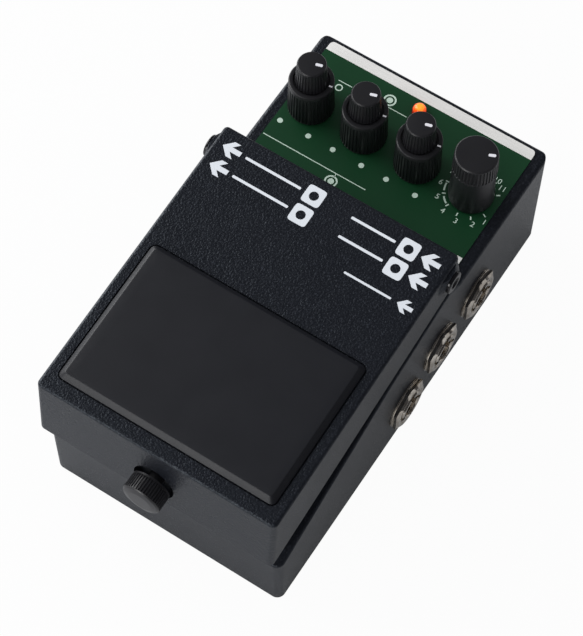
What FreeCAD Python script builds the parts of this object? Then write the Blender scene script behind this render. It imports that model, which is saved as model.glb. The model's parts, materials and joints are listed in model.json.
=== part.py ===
import FreeCAD, Part
import math
import os

from FreeCAD import Vector

# A stomp pedal in millimetres: X to the right, Y to the rear, Z up, z = 0 on the floor.
# Inside this file y = 0 is the front face of the case; every piece is moved to the origin
# below the middle of the whole pedal when it is written.

# case
CASE_W = 68.4
CASE_L = 126.8
CASE_TOP = 39.1
CASE_UNDER = 0.5
WALL = 3.0
FRONT_WALL = 2.4
TOP_WALL = 2.4
CASE_CORNER = 2.2
REAR_CORNER = 3.2
SIDE_ROUND = 1.2
REAR_ROUND = 1.1
EDGE_ROUND = 0.7
FRONT_HEIGHT = 21.6
SLOPE_Y = 50.0
SLOPE_Z = 37.3
CHEEK_Y = 74.0
CHEEK_Z = 42.2
CHEEK_FLAT_Y = 77.0
CHEEK_END_Y = 86.0
CHEEK_END_Z = 36.0
BOX_FRONT_Y = 83.5
BOX_FRONT_WALL = 2.2
BOX_CORNER = 1.8

# raised inner wall behind the treadle's skirts
RAISED_WALL = 2.2
RAISED_LAP = 4.0
RAISED_FRONT_Z = 35.0
RAISED_MID_Y = 66.0
RAISED_MID_Z = 45.0
RAISED_REAR_Z = 41.5

# deck and partition
DECK_TOP = 30.0
DECK_THICK = 2.0
PARTITION_Y = 39.0
PARTITION_THICK = 2.0
NOTCH_W = 6.0
NOTCH_TOP = 12.5

# base plate, rubber sheet and their screws
RUBBER_THICK = 1.2
PLATE_THICK = 1.2
PLATE_INSET = 1.3
PLATE_CORNER = 1.8
PLATE_GAP = 0.1
RUBBER_INSET = 1.6
SCREW_INSET = 6.6
SCREW_FRONT_Y = 7.6
SCREW_REAR_INSET = 8.6
SCREW_R = 1.45
SCREW_HEAD_R = 2.7
SCREW_HEAD_H = 0.9
SCREW_LENGTH = 12.0
SCREW_RECESS = 0.45
RECESS_W = 0.6
RECESS_REACH = 1.5
POST_R = 3.1
POST_RIB = 2.4
RUBBER_HOLE_GAP = 0.7

# treadle
TREADLE_WALL = 2.2
TREADLE_INSET = 0.3
TREADLE_FRONT_Y = -1.45
TREADLE_FRONT_Z = 51.9
TREADLE_REAR_Y = 80.3
TREADLE_REAR_Z = 57.0
SKIRT_FRONT_Y = -3.3
SKIRT_FRONT_Z = 30.3
SKIRT_REAR_Y = 76.5
SKIRT_REAR_Z = 43.4
SKIRT_END_Z = 47.5
TREADLE_CORNER = 1.5
TREADLE_REAR_CORNER = 1.2
TREADLE_EDGE = 0.9
SKIRT_EDGE = 0.4
POCKET_DEPTH = 1.0
POCKET_LENGTH = 9.0
POCKET_SIDE = 1.2

# hinge
HINGE_Y = 75.4
HINGE_Z = 52.1
PIN_R = 1.5
PIN_CLEAR = 0.05
PIN_HEAD_R = 3.0
PIN_HEAD_T = 1.5
PIN_OUT = 1.6
EAR_R = 4.7
EAR_FACE_R = 3.45
EAR_OUT = 0.7
EAR_DROP = 1.15
LUG_R = 3.0
LUG_THICK = 3.5
LUG_GAP = 0.3
LUG_FOOT_Y = 64.0
LUG_FOOT_H = 6.0
CLIP_R = 3.0
CLIP_T = 0.6
PIN_TAIL = 1.2
PIN_HEAD_EDGE = 0.4
PIN_DISH_R = 1.5
PIN_DISH_DEPTH = 0.5

# rubber pad on the treadle
PAD_SIDE = 3.3
PAD_FRONT = 2.8
PAD_L = 40.8
PAD_SINK = 0.7
PAD_RISE = 1.4
PAD_BEVEL = 1.35
PAD_CORNER = 1.6
PAD_GAP = 0.4

# thumbscrew
THUMB_Z = 38.0
THUMB_FACE_Y = -8.7
THUMB_R = 5.25
THUMB_L = 5.3
THUMB_DOME = 0.5
THUMB_EDGE = 0.4
THUMB_FLAT_R = 3.4
THUMB_RIBS = 40
THUMB_RIB = 0.22
THUMB_WASHER_T = 0.5
THUMB_SHANK_R = 2.0
THUMB_TIP_Y = 1.3
THUMB_TIP = 0.5
THUMB_TRAVEL = 2.6
THUMB_BORE_GAP = 0.06
SEAT_R = 5.7
SEAT_GAP = 0.25
BOSS_R = 6.8
BOSS_Y = 1.1
SLOT_LUG_W = 16.0
SLOT_LUG_Z = 44.5
SLOT_LUG_LAP = 6.0
SLOT_GAP = 0.4
SLOT_DROP = 3.2

# treadle spring and its seat
SPRING_X = -14.0
SPRING_Y = 53.0
SPRING_R = 4.6
WIRE_R = 0.6
SPRING_TURNS = 9
SPRING_LOW = 31.4
SPRING_TOP_GAP = 0.3
SPRING_END_PITCH = 1.65
CUP_R = 6.6
CUP_RISE = 3.0
CUP_FLOOR = 0.8
CUP_GAP = 0.3
CUP_CORE_GAP = 0.5
GUIDE_R = 3.4
GUIDE_DROP = 3.6

# foot switch, its button and the plunger above it
SWITCH_Y = 47.0
SWITCH_SIZE = 12.0
SWITCH_H = 7.0
BUTTON_R = 3.0
BUTTON_TOP = 33.0
BUTTON_FLANGE_R = 3.8
BUTTON_FLANGE_T = 1.2
BUTTON_FLANGE_DROP = 1.6
BUTTON_STEM_R = 2.0
BUTTON_STEM_DROP = 5.0
BUTTON_TRAVEL = 0.4
BUTTON_GAP = 0.05
BUTTON_EDGE = 0.5
DECK_HOLE_GAP = 0.3
PLUNGER_R = 2.6
PLUNGER_FLANGE_R = 4.6
PLUNGER_FLANGE_T = 1.5
PLUNGER_CLEAR = 0.03
SWITCH_LEG = 0.6
SWITCH_LEG_L = 4.0
PRESS_ANGLE = 2.0

# control label on the box
LABEL_T = 0.25
LABEL_SIDE = 3.2
LABEL_FRONT_Y = 85.0
LABEL_REAR_INSET = 1.4
LABEL_CORNER = 3.0
LABEL_HOLE_GAP = 0.15

# knobs and the controls under them
KNOB_SIDE = 9.4
KNOB_REAR = 21.3
KNOB_GAP = 0.45
OUTER_R = 5.9
OUTER_FOOT_R = 6.15
OUTER_TOP = 51.9
OUTER_RIBS = 36
OUTER_RIB = 0.25
RIM_H = 1.5
CAVITY_R = 4.95
CAVITY_H = 2.3
GROOVE_R = 4.7
GROOVE_DEPTH = 0.8
INNER_R = 3.85
INNER_FOOT_R = 4.3
INNER_BOTTOM = 51.45
INNER_TOP = 59.5
INNER_RIBS = 26
INNER_RIB = 0.2
KNOB_EDGE = 0.5
SLEEVE_R = 2.5
SLEEVE_TOP = 50.4
SHAFT_R = 1.45
SHAFT_TOP = 57.6
RUN_GAP = 0.05
BUSH_R = 3.15
BUSH_TOP = 41.1
BUSH_HOLE_GAP = 0.15
NUT_AF = 8.0
NUT_H = 1.4
POT_SIZE = 11.0
POT_SHAFT_END = 29.0
POT_SLEEVE_END = 32.5

# mode switch
MODE_SIDE = 10.9
MODE_R = 5.35
MODE_FOOT_R = 5.75
MODE_SKIRT_R = 6.0
MODE_TOP = 59.5
MODE_RIB_BOTTOM = 53.4
MODE_RIBS = 36
MODE_SHAFT_TOP = 56.5
MODE_SIZE = 12.4
MODE_SKIRT_LIP = 1.2
MODE_SKIRT_H = 4.2

# check lamp
LAMP_REAR = 7.7
LAMP_X = -0.4
LAMP_R = 1.8
LAMP_TOP = 42.3
LAMP_DOME_ANGLE = 84.0
LAMP_FLANGE_R = 2.3
LAMP_FLANGE_Z = 33.0
LAMP_FLANGE_T = 0.8
LAMP_LEAD_R = 0.25
LAMP_LEAD_PITCH = 2.0
SPACER_R = 2.8
SPACER_BORE = 1.5

# circuit boards
CONTROL_BOARD_Z = 25.6
BOARD_T = 1.6
CONTROL_BOARD_FRONT = 5.9
CONTROL_BOARD_REAR = 4.2
CONTROL_BOARD_SIDE = 0.8
BOARD_CORNER_CUT = 7.0
MAIN_BOARD_Z = 4.2
MAIN_BOARD_Y0 = 43.0
MAIN_BOARD_REAR = 4.8
MAIN_BOARD_SIDE = 10.2
SHEET_T = 0.3
SHEET_FRONT_Y = 50.5
SHEET_FOOT_R = 2.0
SHEET_FOOT_X = 18.0
SHEET_FOOT_INSET = 8.0
STANDOFF_R = 2.6
STANDOFF_X = 15.0
STANDOFF_Y = 46.5
BOARD_SCREW_R = 1.0
BOARD_SCREW_L = 6.0
BOARD_SCREW_HEAD_R = 1.9
BOARD_SCREW_HEAD_H = 1.1
HEADER_HALF_W = 9.0
HEADER_REAR = 13.3
HEADER_T = 2.5

# components on the main board: chips as (x0, x1, y0, y1, height), cans as (x, y, radius, height)
CHIPS = ((-16, -4, 56, 68, 1.6), (-17, -9, 74, 80, 1.4), (-4, 4, 84, 92, 1.4))
CANS = ((-2, 75, 2.5, 5.4), (0, 95.5, 2.5, 5.4), (13.5, 99, 3.1, 5.4))

# quarter inch jacks: (y, z) on the right wall, the first two also on the left wall
JACKS_RIGHT = ((92.0, 18.5), (73.8, 18.5), (57.9, 13.5))
JACKS_LEFT = ((92.0, 18.5), (73.8, 18.5))
PLUG_R = 3.2
JACK_BUSH_R = 4.7
JACK_HOLE_GAP = 0.15
JACK_FACE_OUT = 2.4
JACK_BODY = 13.4
JACK_DEPTH = 23.0
JACK_BORE_DEPTH = 25.0
JACK_SEAT = 2.0
JACK_NOTCH = 1.4
JACK_NOTCH_DEPTH = 0.7
WASHER_R = 7.1
WASHER_T = 0.6
JACK_NUT_AF = 12.7
JACK_NUT_H = 1.5
JACK_NUT_BEVEL = 0.7
JACK_LEG = 0.5
JACK_LEG_STEPS = (3, 9)

# power inlet in the rear wall
INLET_POST_GAP = 0.4
INLET_Z = 18.6
INLET_W = 9.0
INLET_H = 11.0
INLET_DEPTH = 13.0
INLET_COLLAR_R = 4.2
INLET_OUT = 0.4
INLET_BORE_R = 2.8
INLET_BORE_DEPTH = 9.5
INLET_PIN_R = 0.95
INLET_LEG = 0.6
INLET_LEG_X = 2.5

# nine volt battery
BATTERY_L = 46.4
BATTERY_W = 26.2
BATTERY_H = 17.2
BATTERY_Y0 = 12.2
BATTERY_EDGE = 2.0
FOAM_T = 1.4
FOAM_MARGIN = 2.0
TERMINAL_R = 2.7
TERMINAL_H = 2.1
TERMINAL_PITCH = 12.7
SNAP_T = 3.0
SNAP_GAP = 0.3
SNAP_CORNER = 2.0
SNAP_W = 24.0
SNAP_H = 12.0
LEAD_R = 0.6
LEAD_SIDE = 1.85
LEAD_PITCH = 1.5
LEAD_RISE = 3.4
LEAD_RUN = 3.0
LEAD_BEND_R = 3.8

# values that follow from the sizes above
HALF_W = CASE_W / 2
TREADLE_W = CASE_W - 2 * TREADLE_INSET
EAR_FACE_X = HALF_W + EAR_OUT
PIN_FACE_X = HALF_W + PIN_OUT
PAD_W = TREADLE_W - 2 * PAD_SIDE
SCREW_X = HALF_W - SCREW_INSET
SCREW_REAR_Y = CASE_L - SCREW_REAR_INSET
INLET_X = -(SCREW_X - POST_R - INLET_POST_GAP - INLET_W / 2)
SEAT_Y = THUMB_FACE_Y + THUMB_L + THUMB_TRAVEL + SEAT_GAP
INNER_HALF_W = HALF_W - WALL
RAISED_HALF_W = INNER_HALF_W - RAISED_WALL
DECK_UNDER = DECK_TOP - DECK_THICK
LABEL_HALF_W = HALF_W - LABEL_SIDE
LABEL_REAR_Y = CASE_L - LABEL_REAR_INSET
LAMP_Y = CASE_L - LAMP_REAR
KNOB_Y = CASE_L - KNOB_REAR
KNOB_FIRST_X = KNOB_SIDE - HALF_W
MODE_X = HALF_W - MODE_SIDE
KNOB_PITCH = (MODE_X - KNOB_FIRST_X) / 3
CONTROL_BOARD_Y0 = KNOB_Y - CONTROL_BOARD_FRONT
CONTROL_BOARD_Y1 = CASE_L - CONTROL_BOARD_REAR
CONTROL_BOARD_HALF_W = INNER_HALF_W - CONTROL_BOARD_SIDE
MAIN_BOARD_Y1 = CASE_L - MAIN_BOARD_REAR
MAIN_BOARD_HALF_W = HALF_W - MAIN_BOARD_SIDE
HEADER_Y = CASE_L - HEADER_REAR
LABEL_TOP = CASE_TOP + LABEL_T
KNOB_BOTTOM = LABEL_TOP + KNOB_GAP
PLATE_TOP = RUBBER_THICK + PLATE_THICK
BOX_CEILING = CASE_TOP - TOP_WALL
REAR_WALL_Y = CASE_L - FRONT_WALL
TREADLE_HALF_W = TREADLE_W / 2
TREADLE_SLOPE = (TREADLE_REAR_Z - TREADLE_FRONT_Z) / (TREADLE_REAR_Y - TREADLE_FRONT_Y)
CONTROL_BOARD_TOP = CONTROL_BOARD_Z + BOARD_T
MAIN_BOARD_TOP = MAIN_BOARD_Z + BOARD_T
JACK_FACE_X = HALF_W + JACK_FACE_OUT
LUG_FACE_X = TREADLE_HALF_W - TREADLE_WALL - LUG_GAP
LUG_INNER_X = LUG_FACE_X - LUG_THICK
BATTERY_Z0 = PLATE_TOP + FOAM_T
BATTERY_X1 = (BATTERY_L - TERMINAL_H - SNAP_T) / 2
BATTERY_X0 = BATTERY_X1 - BATTERY_L
LEAD_X = BATTERY_X1 + LEAD_SIDE
BATTERY_MID_Y = BATTERY_Y0 + BATTERY_W / 2
BATTERY_MID_Z = BATTERY_Z0 + BATTERY_H / 2
KNOB_XS = tuple(KNOB_FIRST_X + KNOB_PITCH * n for n in range(3))
SPRING_HIGH = (TREADLE_FRONT_Z + TREADLE_SLOPE * (SPRING_Y - SPRING_R - WIRE_R - TREADLE_FRONT_Y)
               - TREADLE_WALL - SPRING_TOP_GAP)
PLUNGER_GAP = (HINGE_Y - SWITCH_Y + PLUNGER_R) * math.sin(math.radians(PRESS_ANGLE)) + PLUNGER_CLEAR
ORIGIN_Y = (CASE_L + INLET_OUT + THUMB_FACE_Y) / 2

# play between two pieces of one body, and how deep a joined piece reaches into its neighbour
PLAY = 0.1
EMBED = 0.5

# how far a cutting block runs past what it cuts
PAST = 20.0
HOLLOW_PAST = 30.0

# how near a point lies to the face or line that it is on
NEAR = 0.02

# one rib of a grip: shares of its pitch where the land ends, the valley starts and ends
RIB_LAND = 0.45
RIB_FOOT = 0.6
RIB_RISE = 0.85

X_AXIS = Vector(1, 0, 0)
Y_AXIS = Vector(0, 1, 0)
Z_AXIS = Vector(0, 0, 1)


def block(x0, x1, y0, y1, z0, z1):
    return Part.makeBox(x1 - x0, y1 - y0, z1 - z0, Vector(x0, y0, z0))


def rod(radius, start, end):
    """A round bar from one point to another."""
    run = end - start
    return Part.makeCylinder(radius, run.Length, start, run)


def upright(radius, x, y, z0, z1):
    return rod(radius, Vector(x, y, z0), Vector(x, y, z1))


def rounded_block(half_w, y0, y1, corner, z0, z1, x_mid=0.0):
    """A block with its four upright corners rounded."""
    solid = block(x_mid - half_w, x_mid + half_w, y0, y1, z0, z1)
    upright_edges = [e for e in solid.Edges if abs(e.tangentAt(e.FirstParameter).z) > 0.9]
    return solid.makeFillet(corner, upright_edges)


def side_prism(points, x0, x1):
    """A prism along X whose outline is a list of (y, z) points."""
    outline = [Vector(x0, y, z) for y, z in points]
    face = Part.Face(Part.makePolygon(outline + outline[:1]))
    return face.extrude(Vector(x1 - x0, 0, 0))


def hex_nut(across_flats, start, axis, height):
    """A hexagonal block whose axis starts at a point."""
    radius = across_flats / math.sqrt(3)
    corners = [Vector(radius * math.cos(math.radians(60 * n)),
                      radius * math.sin(math.radians(60 * n)), 0) for n in range(6)]
    nut = Part.Face(Part.makePolygon(corners + corners[:1])).extrude(Vector(0, 0, height))
    nut.Placement = FreeCAD.Placement(start, FreeCAD.Rotation(Z_AXIS, axis))
    return nut


def ribbed_outline(radius, rib_depth, ribs, x, y, z):
    """Corner points round a grip with fine ribs."""
    points = []
    for n in range(ribs):
        for share, r in ((0.0, radius), (RIB_LAND, radius), (RIB_FOOT, radius - rib_depth),
                         (RIB_RISE, radius - rib_depth)):
            angle = 2 * math.pi * (n + share) / ribs
            points.append(Vector(x + r * math.cos(angle), y + r * math.sin(angle), z))
    return points


def ribbed_grip(foot_radius, top_radius, rib_depth, ribs, z0, z1, x, y):
    """An upright grip with fine ribs all round, which may narrow towards its top."""
    low = ribbed_outline(foot_radius, rib_depth, ribs, x, y, z0)
    high = ribbed_outline(top_radius, rib_depth * top_radius / foot_radius, ribs, x, y, z1)
    faces = [Part.Face(Part.makePolygon(ring + ring[:1])) for ring in (low, high)]
    for n in range(len(low)):
        corners = [low[n - 1], low[n], high[n], high[n - 1]]
        faces.append(Part.Face(Part.makePolygon(corners + corners[:1])))
    shell = Part.makeShell(faces)
    shell.sewShape()
    solid = Part.makeSolid(shell)
    if solid.Volume < 0:
        solid.reverse()
    return solid


def turned(points, x, y):
    """A solid of revolution about an upright axis from (radius, z) points."""
    outline = [Vector(x + r, y, z) for r, z in points]
    face = Part.Face(Part.makePolygon(outline + outline[:1]))
    return face.revolve(Vector(x, y, 0), Z_AXIS, 360)


def group(shapes):
    return Part.makeCompound(shapes)


def one_solid(shape):
    """The single solid of a shape, with its seams cleaned."""
    cleaned = shape.removeSplitter()
    if len(cleaned.Solids) != 1:
        raise ValueError("expected one solid, found %d" % len(cleaned.Solids))
    return cleaned.Solids[0]


def treadle_top_z(y):
    return TREADLE_FRONT_Z + TREADLE_SLOPE * (y - TREADLE_FRONT_Y)


def treadle_under_z(y):
    return treadle_top_z(y) - TREADLE_WALL


def wall_line(y):
    """Height of the case's outer wall beside the treadle."""
    if y < SLOPE_Y:
        return FRONT_HEIGHT + (SLOPE_Z - FRONT_HEIGHT) * y / SLOPE_Y
    return SLOPE_Z + (CHEEK_Z - SLOPE_Z) * (y - SLOPE_Y) / (CHEEK_Y - SLOPE_Y)


def case_outer():
    """The case's outside: a low sloping front part and a box at the rear."""
    front = rounded_block(HALF_W, 0, CASE_L, CASE_CORNER, CASE_UNDER, CASE_TOP + PAST)
    outline = [(-1, CASE_UNDER - 1), (-1, wall_line(0)), (0, wall_line(0)), (SLOPE_Y, SLOPE_Z),
               (CHEEK_Y, CHEEK_Z), (CHEEK_FLAT_Y, CHEEK_Z), (CHEEK_END_Y, CHEEK_END_Z),
               (CHEEK_END_Y, CASE_UNDER - 1)]
    front = front.common(side_prism(outline, -HALF_W - 1, HALF_W + 1))
    rims = [e for e in front.Edges if front_rim(e)]
    front = front.makeFillet(EDGE_ROUND, rims)

    rear = rounded_block(HALF_W, 0, CASE_L, REAR_CORNER, CASE_UNDER, CASE_TOP)
    across = block(-HALF_W, HALF_W, -1, CASE_L + 1, 0, CASE_TOP)
    long_edges = [e for e in across.Edges
                  if abs(e.BoundBox.ZMin - CASE_TOP) < NEAR and e.BoundBox.YLength > 1]
    across = across.makeFillet(SIDE_ROUND, long_edges)
    along = block(-HALF_W - 1, HALF_W + 1, CHEEK_FLAT_Y, CASE_L, 0, CASE_TOP)
    back_edge = [e for e in along.Edges
                 if abs(e.BoundBox.ZMin - CASE_TOP) < NEAR and abs(e.BoundBox.YMin - CASE_L) < NEAR]
    along = along.makeFillet(REAR_ROUND, back_edge)
    rear = rear.common(across).common(along)
    return front.fuse(rear)


def front_rim(edge):
    """Whether an edge lies on the outside of the sloping rim."""
    box = edge.BoundBox
    if box.ZMin < FRONT_HEIGHT - NEAR:
        return False
    crosses_over = box.YLength < NEAR and box.YMin > 1
    return not crosses_over


def case_shell():
    """The casting's outer walls and the top of its rear box."""
    shell = case_outer()
    shell = shell.cut(block(-INNER_HALF_W, INNER_HALF_W, FRONT_WALL, BOX_FRONT_Y, -PAST, CASE_TOP + PAST))
    shell = shell.cut(rounded_block(INNER_HALF_W, BOX_FRONT_Y + BOX_FRONT_WALL, REAR_WALL_Y, BOX_CORNER,
                                    -PAST, BOX_CEILING))
    return shell.cut(block(-INNER_HALF_W, INNER_HALF_W, BOX_FRONT_Y - 1,
                           BOX_FRONT_Y + BOX_FRONT_WALL + BOX_CORNER, -PAST, DECK_TOP))


def cut_case():
    """The outer walls with the recess for the base plate and every hole."""
    shell = case_shell()
    cuts = [rounded_block(HALF_W - PLATE_INSET, PLATE_INSET, CASE_L - PLATE_INSET, PLATE_CORNER,
                          -PAST, PLATE_TOP)]
    for side, y, z in jack_places():
        cuts.append(rod(JACK_BUSH_R + JACK_HOLE_GAP, Vector(side * (INNER_HALF_W - 1), y, z),
                        Vector(side * (HALF_W + 1), y, z)))
    cuts.append(rod(INLET_COLLAR_R + JACK_HOLE_GAP, Vector(INLET_X, REAR_WALL_Y - 1, INLET_Z),
                    Vector(INLET_X, CASE_L + 1, INLET_Z)))
    for x in KNOB_XS + (MODE_X,):
        cuts.append(upright(BUSH_R + BUSH_HOLE_GAP, x, KNOB_Y, BOX_CEILING - 1, CASE_TOP + 1))
    cuts.append(upright(LAMP_R + LABEL_HOLE_GAP, LAMP_X, LAMP_Y, BOX_CEILING - 1, CASE_TOP + 1))
    for piece in cuts:
        shell = shell.cut(piece)
    return shell


def case_piece(x0, x1, y0, y1):
    """One region of the outer walls."""
    return one_solid(cut_case().common(block(x0, x1, y0, y1, 0, CASE_TOP + PAST)))


def make_case_side(side):
    x0, x1 = sorted((side * INNER_HALF_W, side * (HALF_W + 1)))
    return case_piece(x0, x1, -1, CASE_L + 1)


def make_case_front():
    return case_piece(-INNER_HALF_W, INNER_HALF_W, -1, FRONT_WALL)


def make_case_box():
    """The rear box's top with its front and rear walls."""
    return case_piece(-INNER_HALF_W, INNER_HALF_W, BOX_FRONT_Y, CASE_L + 1)


def deck_slabs():
    """The deck below the treadle's rear half and the partition behind the battery."""
    deck = block(-INNER_HALF_W, INNER_HALF_W, PARTITION_Y, BOX_FRONT_Y + BOX_FRONT_WALL, DECK_UNDER, DECK_TOP)
    return deck.fuse(block(-INNER_HALF_W, INNER_HALF_W, PARTITION_Y, PARTITION_Y + PARTITION_THICK,
                           PLATE_TOP, DECK_UNDER))


def make_case_deck():
    deck = deck_slabs()
    for x in (-STANDOFF_X, STANDOFF_X):
        deck = deck.fuse(upright(STANDOFF_R, x, STANDOFF_Y, MAIN_BOARD_TOP, DECK_UNDER))
    for x in (-STANDOFF_X, STANDOFF_X):
        deck = deck.cut(upright(BOARD_SCREW_R, x, STANDOFF_Y,
                                MAIN_BOARD_TOP - 1, MAIN_BOARD_TOP + BOARD_SCREW_L))
    deck = deck.cut(upright(BUTTON_R + DECK_HOLE_GAP, 0, SWITCH_Y, DECK_UNDER - 1, DECK_TOP + 1))
    deck = deck.cut(block(LEAD_X - NOTCH_W / 2, LEAD_X + NOTCH_W / 2, PARTITION_Y - 1,
                          PARTITION_Y + PARTITION_THICK + 1, 0, NOTCH_TOP))
    return one_solid(deck)


def raised_wall():
    """The inner wall that rises behind the treadle's skirts, lapped onto the outer wall."""
    ring = block(-INNER_HALF_W, INNER_HALF_W, FRONT_WALL, BOX_FRONT_Y, 0, CASE_TOP + PAST)
    ring = ring.cut(block(-RAISED_HALF_W, RAISED_HALF_W, FRONT_WALL + RAISED_WALL, BOX_FRONT_Y + 1,
                          -PAST, CASE_TOP + 2 * PAST))
    band = [(FRONT_WALL, wall_line(FRONT_WALL) - RAISED_LAP), (SLOPE_Y, SLOPE_Z - RAISED_LAP),
            (CHEEK_Y, CHEEK_Z - 2 * RAISED_LAP), (BOX_FRONT_Y, CASE_TOP - 2 * RAISED_LAP),
            (BOX_FRONT_Y, RAISED_REAR_Z), (RAISED_MID_Y, RAISED_MID_Z), (FRONT_WALL, RAISED_FRONT_Z)]
    return ring.common(side_prism(band, -INNER_HALF_W, INNER_HALF_W))


def hinge_lug(side):
    """An upright lug inside the treadle's ear, with a round end about the pin."""
    x0, x1 = sorted((side * LUG_INNER_X, side * LUG_FACE_X))
    foot = side_prism([(LUG_FOOT_Y, DECK_TOP), (HINGE_Y + LUG_R, DECK_TOP),
                       (HINGE_Y + LUG_R, HINGE_Z), (HINGE_Y - LUG_R, HINGE_Z),
                       (LUG_FOOT_Y, DECK_TOP + LUG_FOOT_H)], x0, x1)
    end = rod(LUG_R, Vector(x0, HINGE_Y, HINGE_Z), Vector(x1, HINGE_Y, HINGE_Z))
    return foot.fuse(end)


def make_case_frame():
    """The raised wall with the hinge lugs and the slotted lug that the thumbscrew reaches into."""
    slot_lug = block(-SLOT_LUG_W / 2, SLOT_LUG_W / 2, FRONT_WALL, FRONT_WALL + RAISED_WALL,
                     RAISED_FRONT_Z - SLOT_LUG_LAP, SLOT_LUG_Z)
    frame = raised_wall().fuse(hinge_lug(-1)).fuse(hinge_lug(1)).fuse(slot_lug)
    slot_half = THUMB_SHANK_R + SLOT_GAP
    frame = frame.cut(block(-slot_half, slot_half, FRONT_WALL - 1, FRONT_WALL + RAISED_WALL + 1,
                            THUMB_Z - THUMB_SHANK_R - SLOT_DROP, THUMB_Z + THUMB_SHANK_R + SLOT_GAP))
    for side in (-1, 1):
        frame = frame.cut(rod(PIN_R + PIN_CLEAR, Vector(side * (LUG_INNER_X - 1), HINGE_Y, HINGE_Z),
                              Vector(side * (LUG_FACE_X + 1), HINGE_Y, HINGE_Z)))
    return one_solid(frame.cut(case_shell()).cut(deck_slabs()))


def screw_places():
    return [(side * SCREW_X, y) for y in (SCREW_FRONT_Y, SCREW_REAR_Y) for side in (-1, 1)]


def make_screw_posts():
    """The posts that the base screws go into, each with a rib to the side wall."""
    shell = case_shell()
    wall = raised_wall()
    posts = []
    for x, y in screw_places():
        top = DECK_TOP if y > BOX_FRONT_Y else wall_line(FRONT_WALL) - 1
        post = upright(POST_R, x, y, PLATE_TOP, top)
        x0, x1 = sorted((x, math.copysign(HALF_W - 1, x)))
        post = post.fuse(block(x0, x1, y - POST_RIB / 2, y + POST_RIB / 2, PLATE_TOP, top))
        post = post.cut(upright(SCREW_R, x, y, PLATE_TOP - 1, PLATE_TOP + SCREW_LENGTH))
        posts.append(one_solid(post.cut(shell).cut(wall)))
    return group(posts)


def make_base_plate():
    inset = PLATE_INSET + PLATE_GAP
    plate = rounded_block(HALF_W - inset, inset, CASE_L - inset, PLATE_CORNER - PLATE_GAP,
                          RUBBER_THICK, PLATE_TOP)
    for x, y in screw_places():
        plate = plate.cut(upright(SCREW_R + PLAY, x, y, 0, PLATE_TOP + 1))
    return one_solid(plate)


def make_base_rubber():
    sheet = rounded_block(HALF_W - RUBBER_INSET, RUBBER_INSET, CASE_L - RUBBER_INSET,
                          PLATE_CORNER - (RUBBER_INSET - PLATE_INSET), 0, RUBBER_THICK)
    for x, y in screw_places():
        sheet = sheet.cut(upright(SCREW_HEAD_R + RUBBER_HOLE_GAP, x, y, -1, RUBBER_THICK + 1))
    return one_solid(sheet)


def cross_recess(x, y, z0, z1, reach):
    half = RECESS_W / 2
    slot = block(x - reach, x + reach, y - half, y + half, z0, z1)
    return slot.fuse(block(x - half, x + half, y - reach, y + reach, z0, z1))


def make_base_screws():
    screws = []
    for x, y in screw_places():
        head_low = RUBBER_THICK - SCREW_HEAD_H
        screw = upright(SCREW_HEAD_R, x, y, head_low, RUBBER_THICK)
        screw = screw.fuse(upright(SCREW_R, x, y, RUBBER_THICK, PLATE_TOP + SCREW_LENGTH - 1))
        screw = screw.cut(cross_recess(x, y, head_low - 1, head_low + SCREW_RECESS, RECESS_REACH))
        screws.append(one_solid(screw))
    return group(screws)


def treadle_outline(drop, inset, below):
    """The treadle's side outline, moved down and in from its outer faces."""
    top_front = (TREADLE_FRONT_Y + inset, treadle_top_z(TREADLE_FRONT_Y + inset) - drop)
    lean = (TREADLE_FRONT_Y - SKIRT_FRONT_Y) / (TREADLE_FRONT_Z - SKIRT_FRONT_Z)
    low_front = (SKIRT_FRONT_Y + inset - lean * below, SKIRT_FRONT_Z - below)
    if below:
        rear = [(TREADLE_REAR_Y + below, treadle_top_z(TREADLE_REAR_Y + below) - drop),
                (TREADLE_REAR_Y + below, SKIRT_FRONT_Z - below)]
    else:
        rear = [(TREADLE_REAR_Y, TREADLE_REAR_Z), (TREADLE_REAR_Y, SKIRT_END_Z), (SKIRT_REAR_Y, SKIRT_REAR_Z)]
    return [top_front] + rear + [low_front]


def treadle_outer():
    solid = side_prism(treadle_outline(0, 0, 0), -TREADLE_HALF_W, TREADLE_HALF_W)
    uprights = [e for e in solid.Edges if e.BoundBox.XLength < NEAR and e.BoundBox.ZLength > 5]
    front = [e for e in uprights if e.BoundBox.YMax < TREADLE_FRONT_Y + NEAR]
    solid = solid.makeFillet(TREADLE_CORNER, front)
    rear = [e for e in solid.Edges if e.BoundBox.XLength < NEAR and e.BoundBox.ZLength > 5
            and e.BoundBox.YMin > TREADLE_REAR_Y - NEAR]
    solid = solid.makeFillet(TREADLE_REAR_CORNER, rear)
    rims = []
    for edge in solid.Edges:
        middle = edge.valueAt((edge.FirstParameter + edge.LastParameter) / 2)
        if abs(middle.z - treadle_top_z(middle.y)) < NEAR:
            rims.append(edge)
    solid = solid.makeFillet(TREADLE_EDGE, rims)
    return solid.makeFillet(SKIRT_EDGE, [e for e in solid.Edges if on_skirt_edge(e)])


def on_skirt_edge(edge):
    """Whether an edge runs along the skirt's lower outer border."""
    rise = (SKIRT_REAR_Z - SKIRT_FRONT_Z) / (SKIRT_REAR_Y - SKIRT_FRONT_Y)
    middle = edge.valueAt((edge.FirstParameter + edge.LastParameter) / 2)
    if abs(middle.z - SKIRT_FRONT_Z - rise * (middle.y - SKIRT_FRONT_Y)) > NEAR:
        return False
    return middle.y < SKIRT_REAR_Y - EMBED


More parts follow.
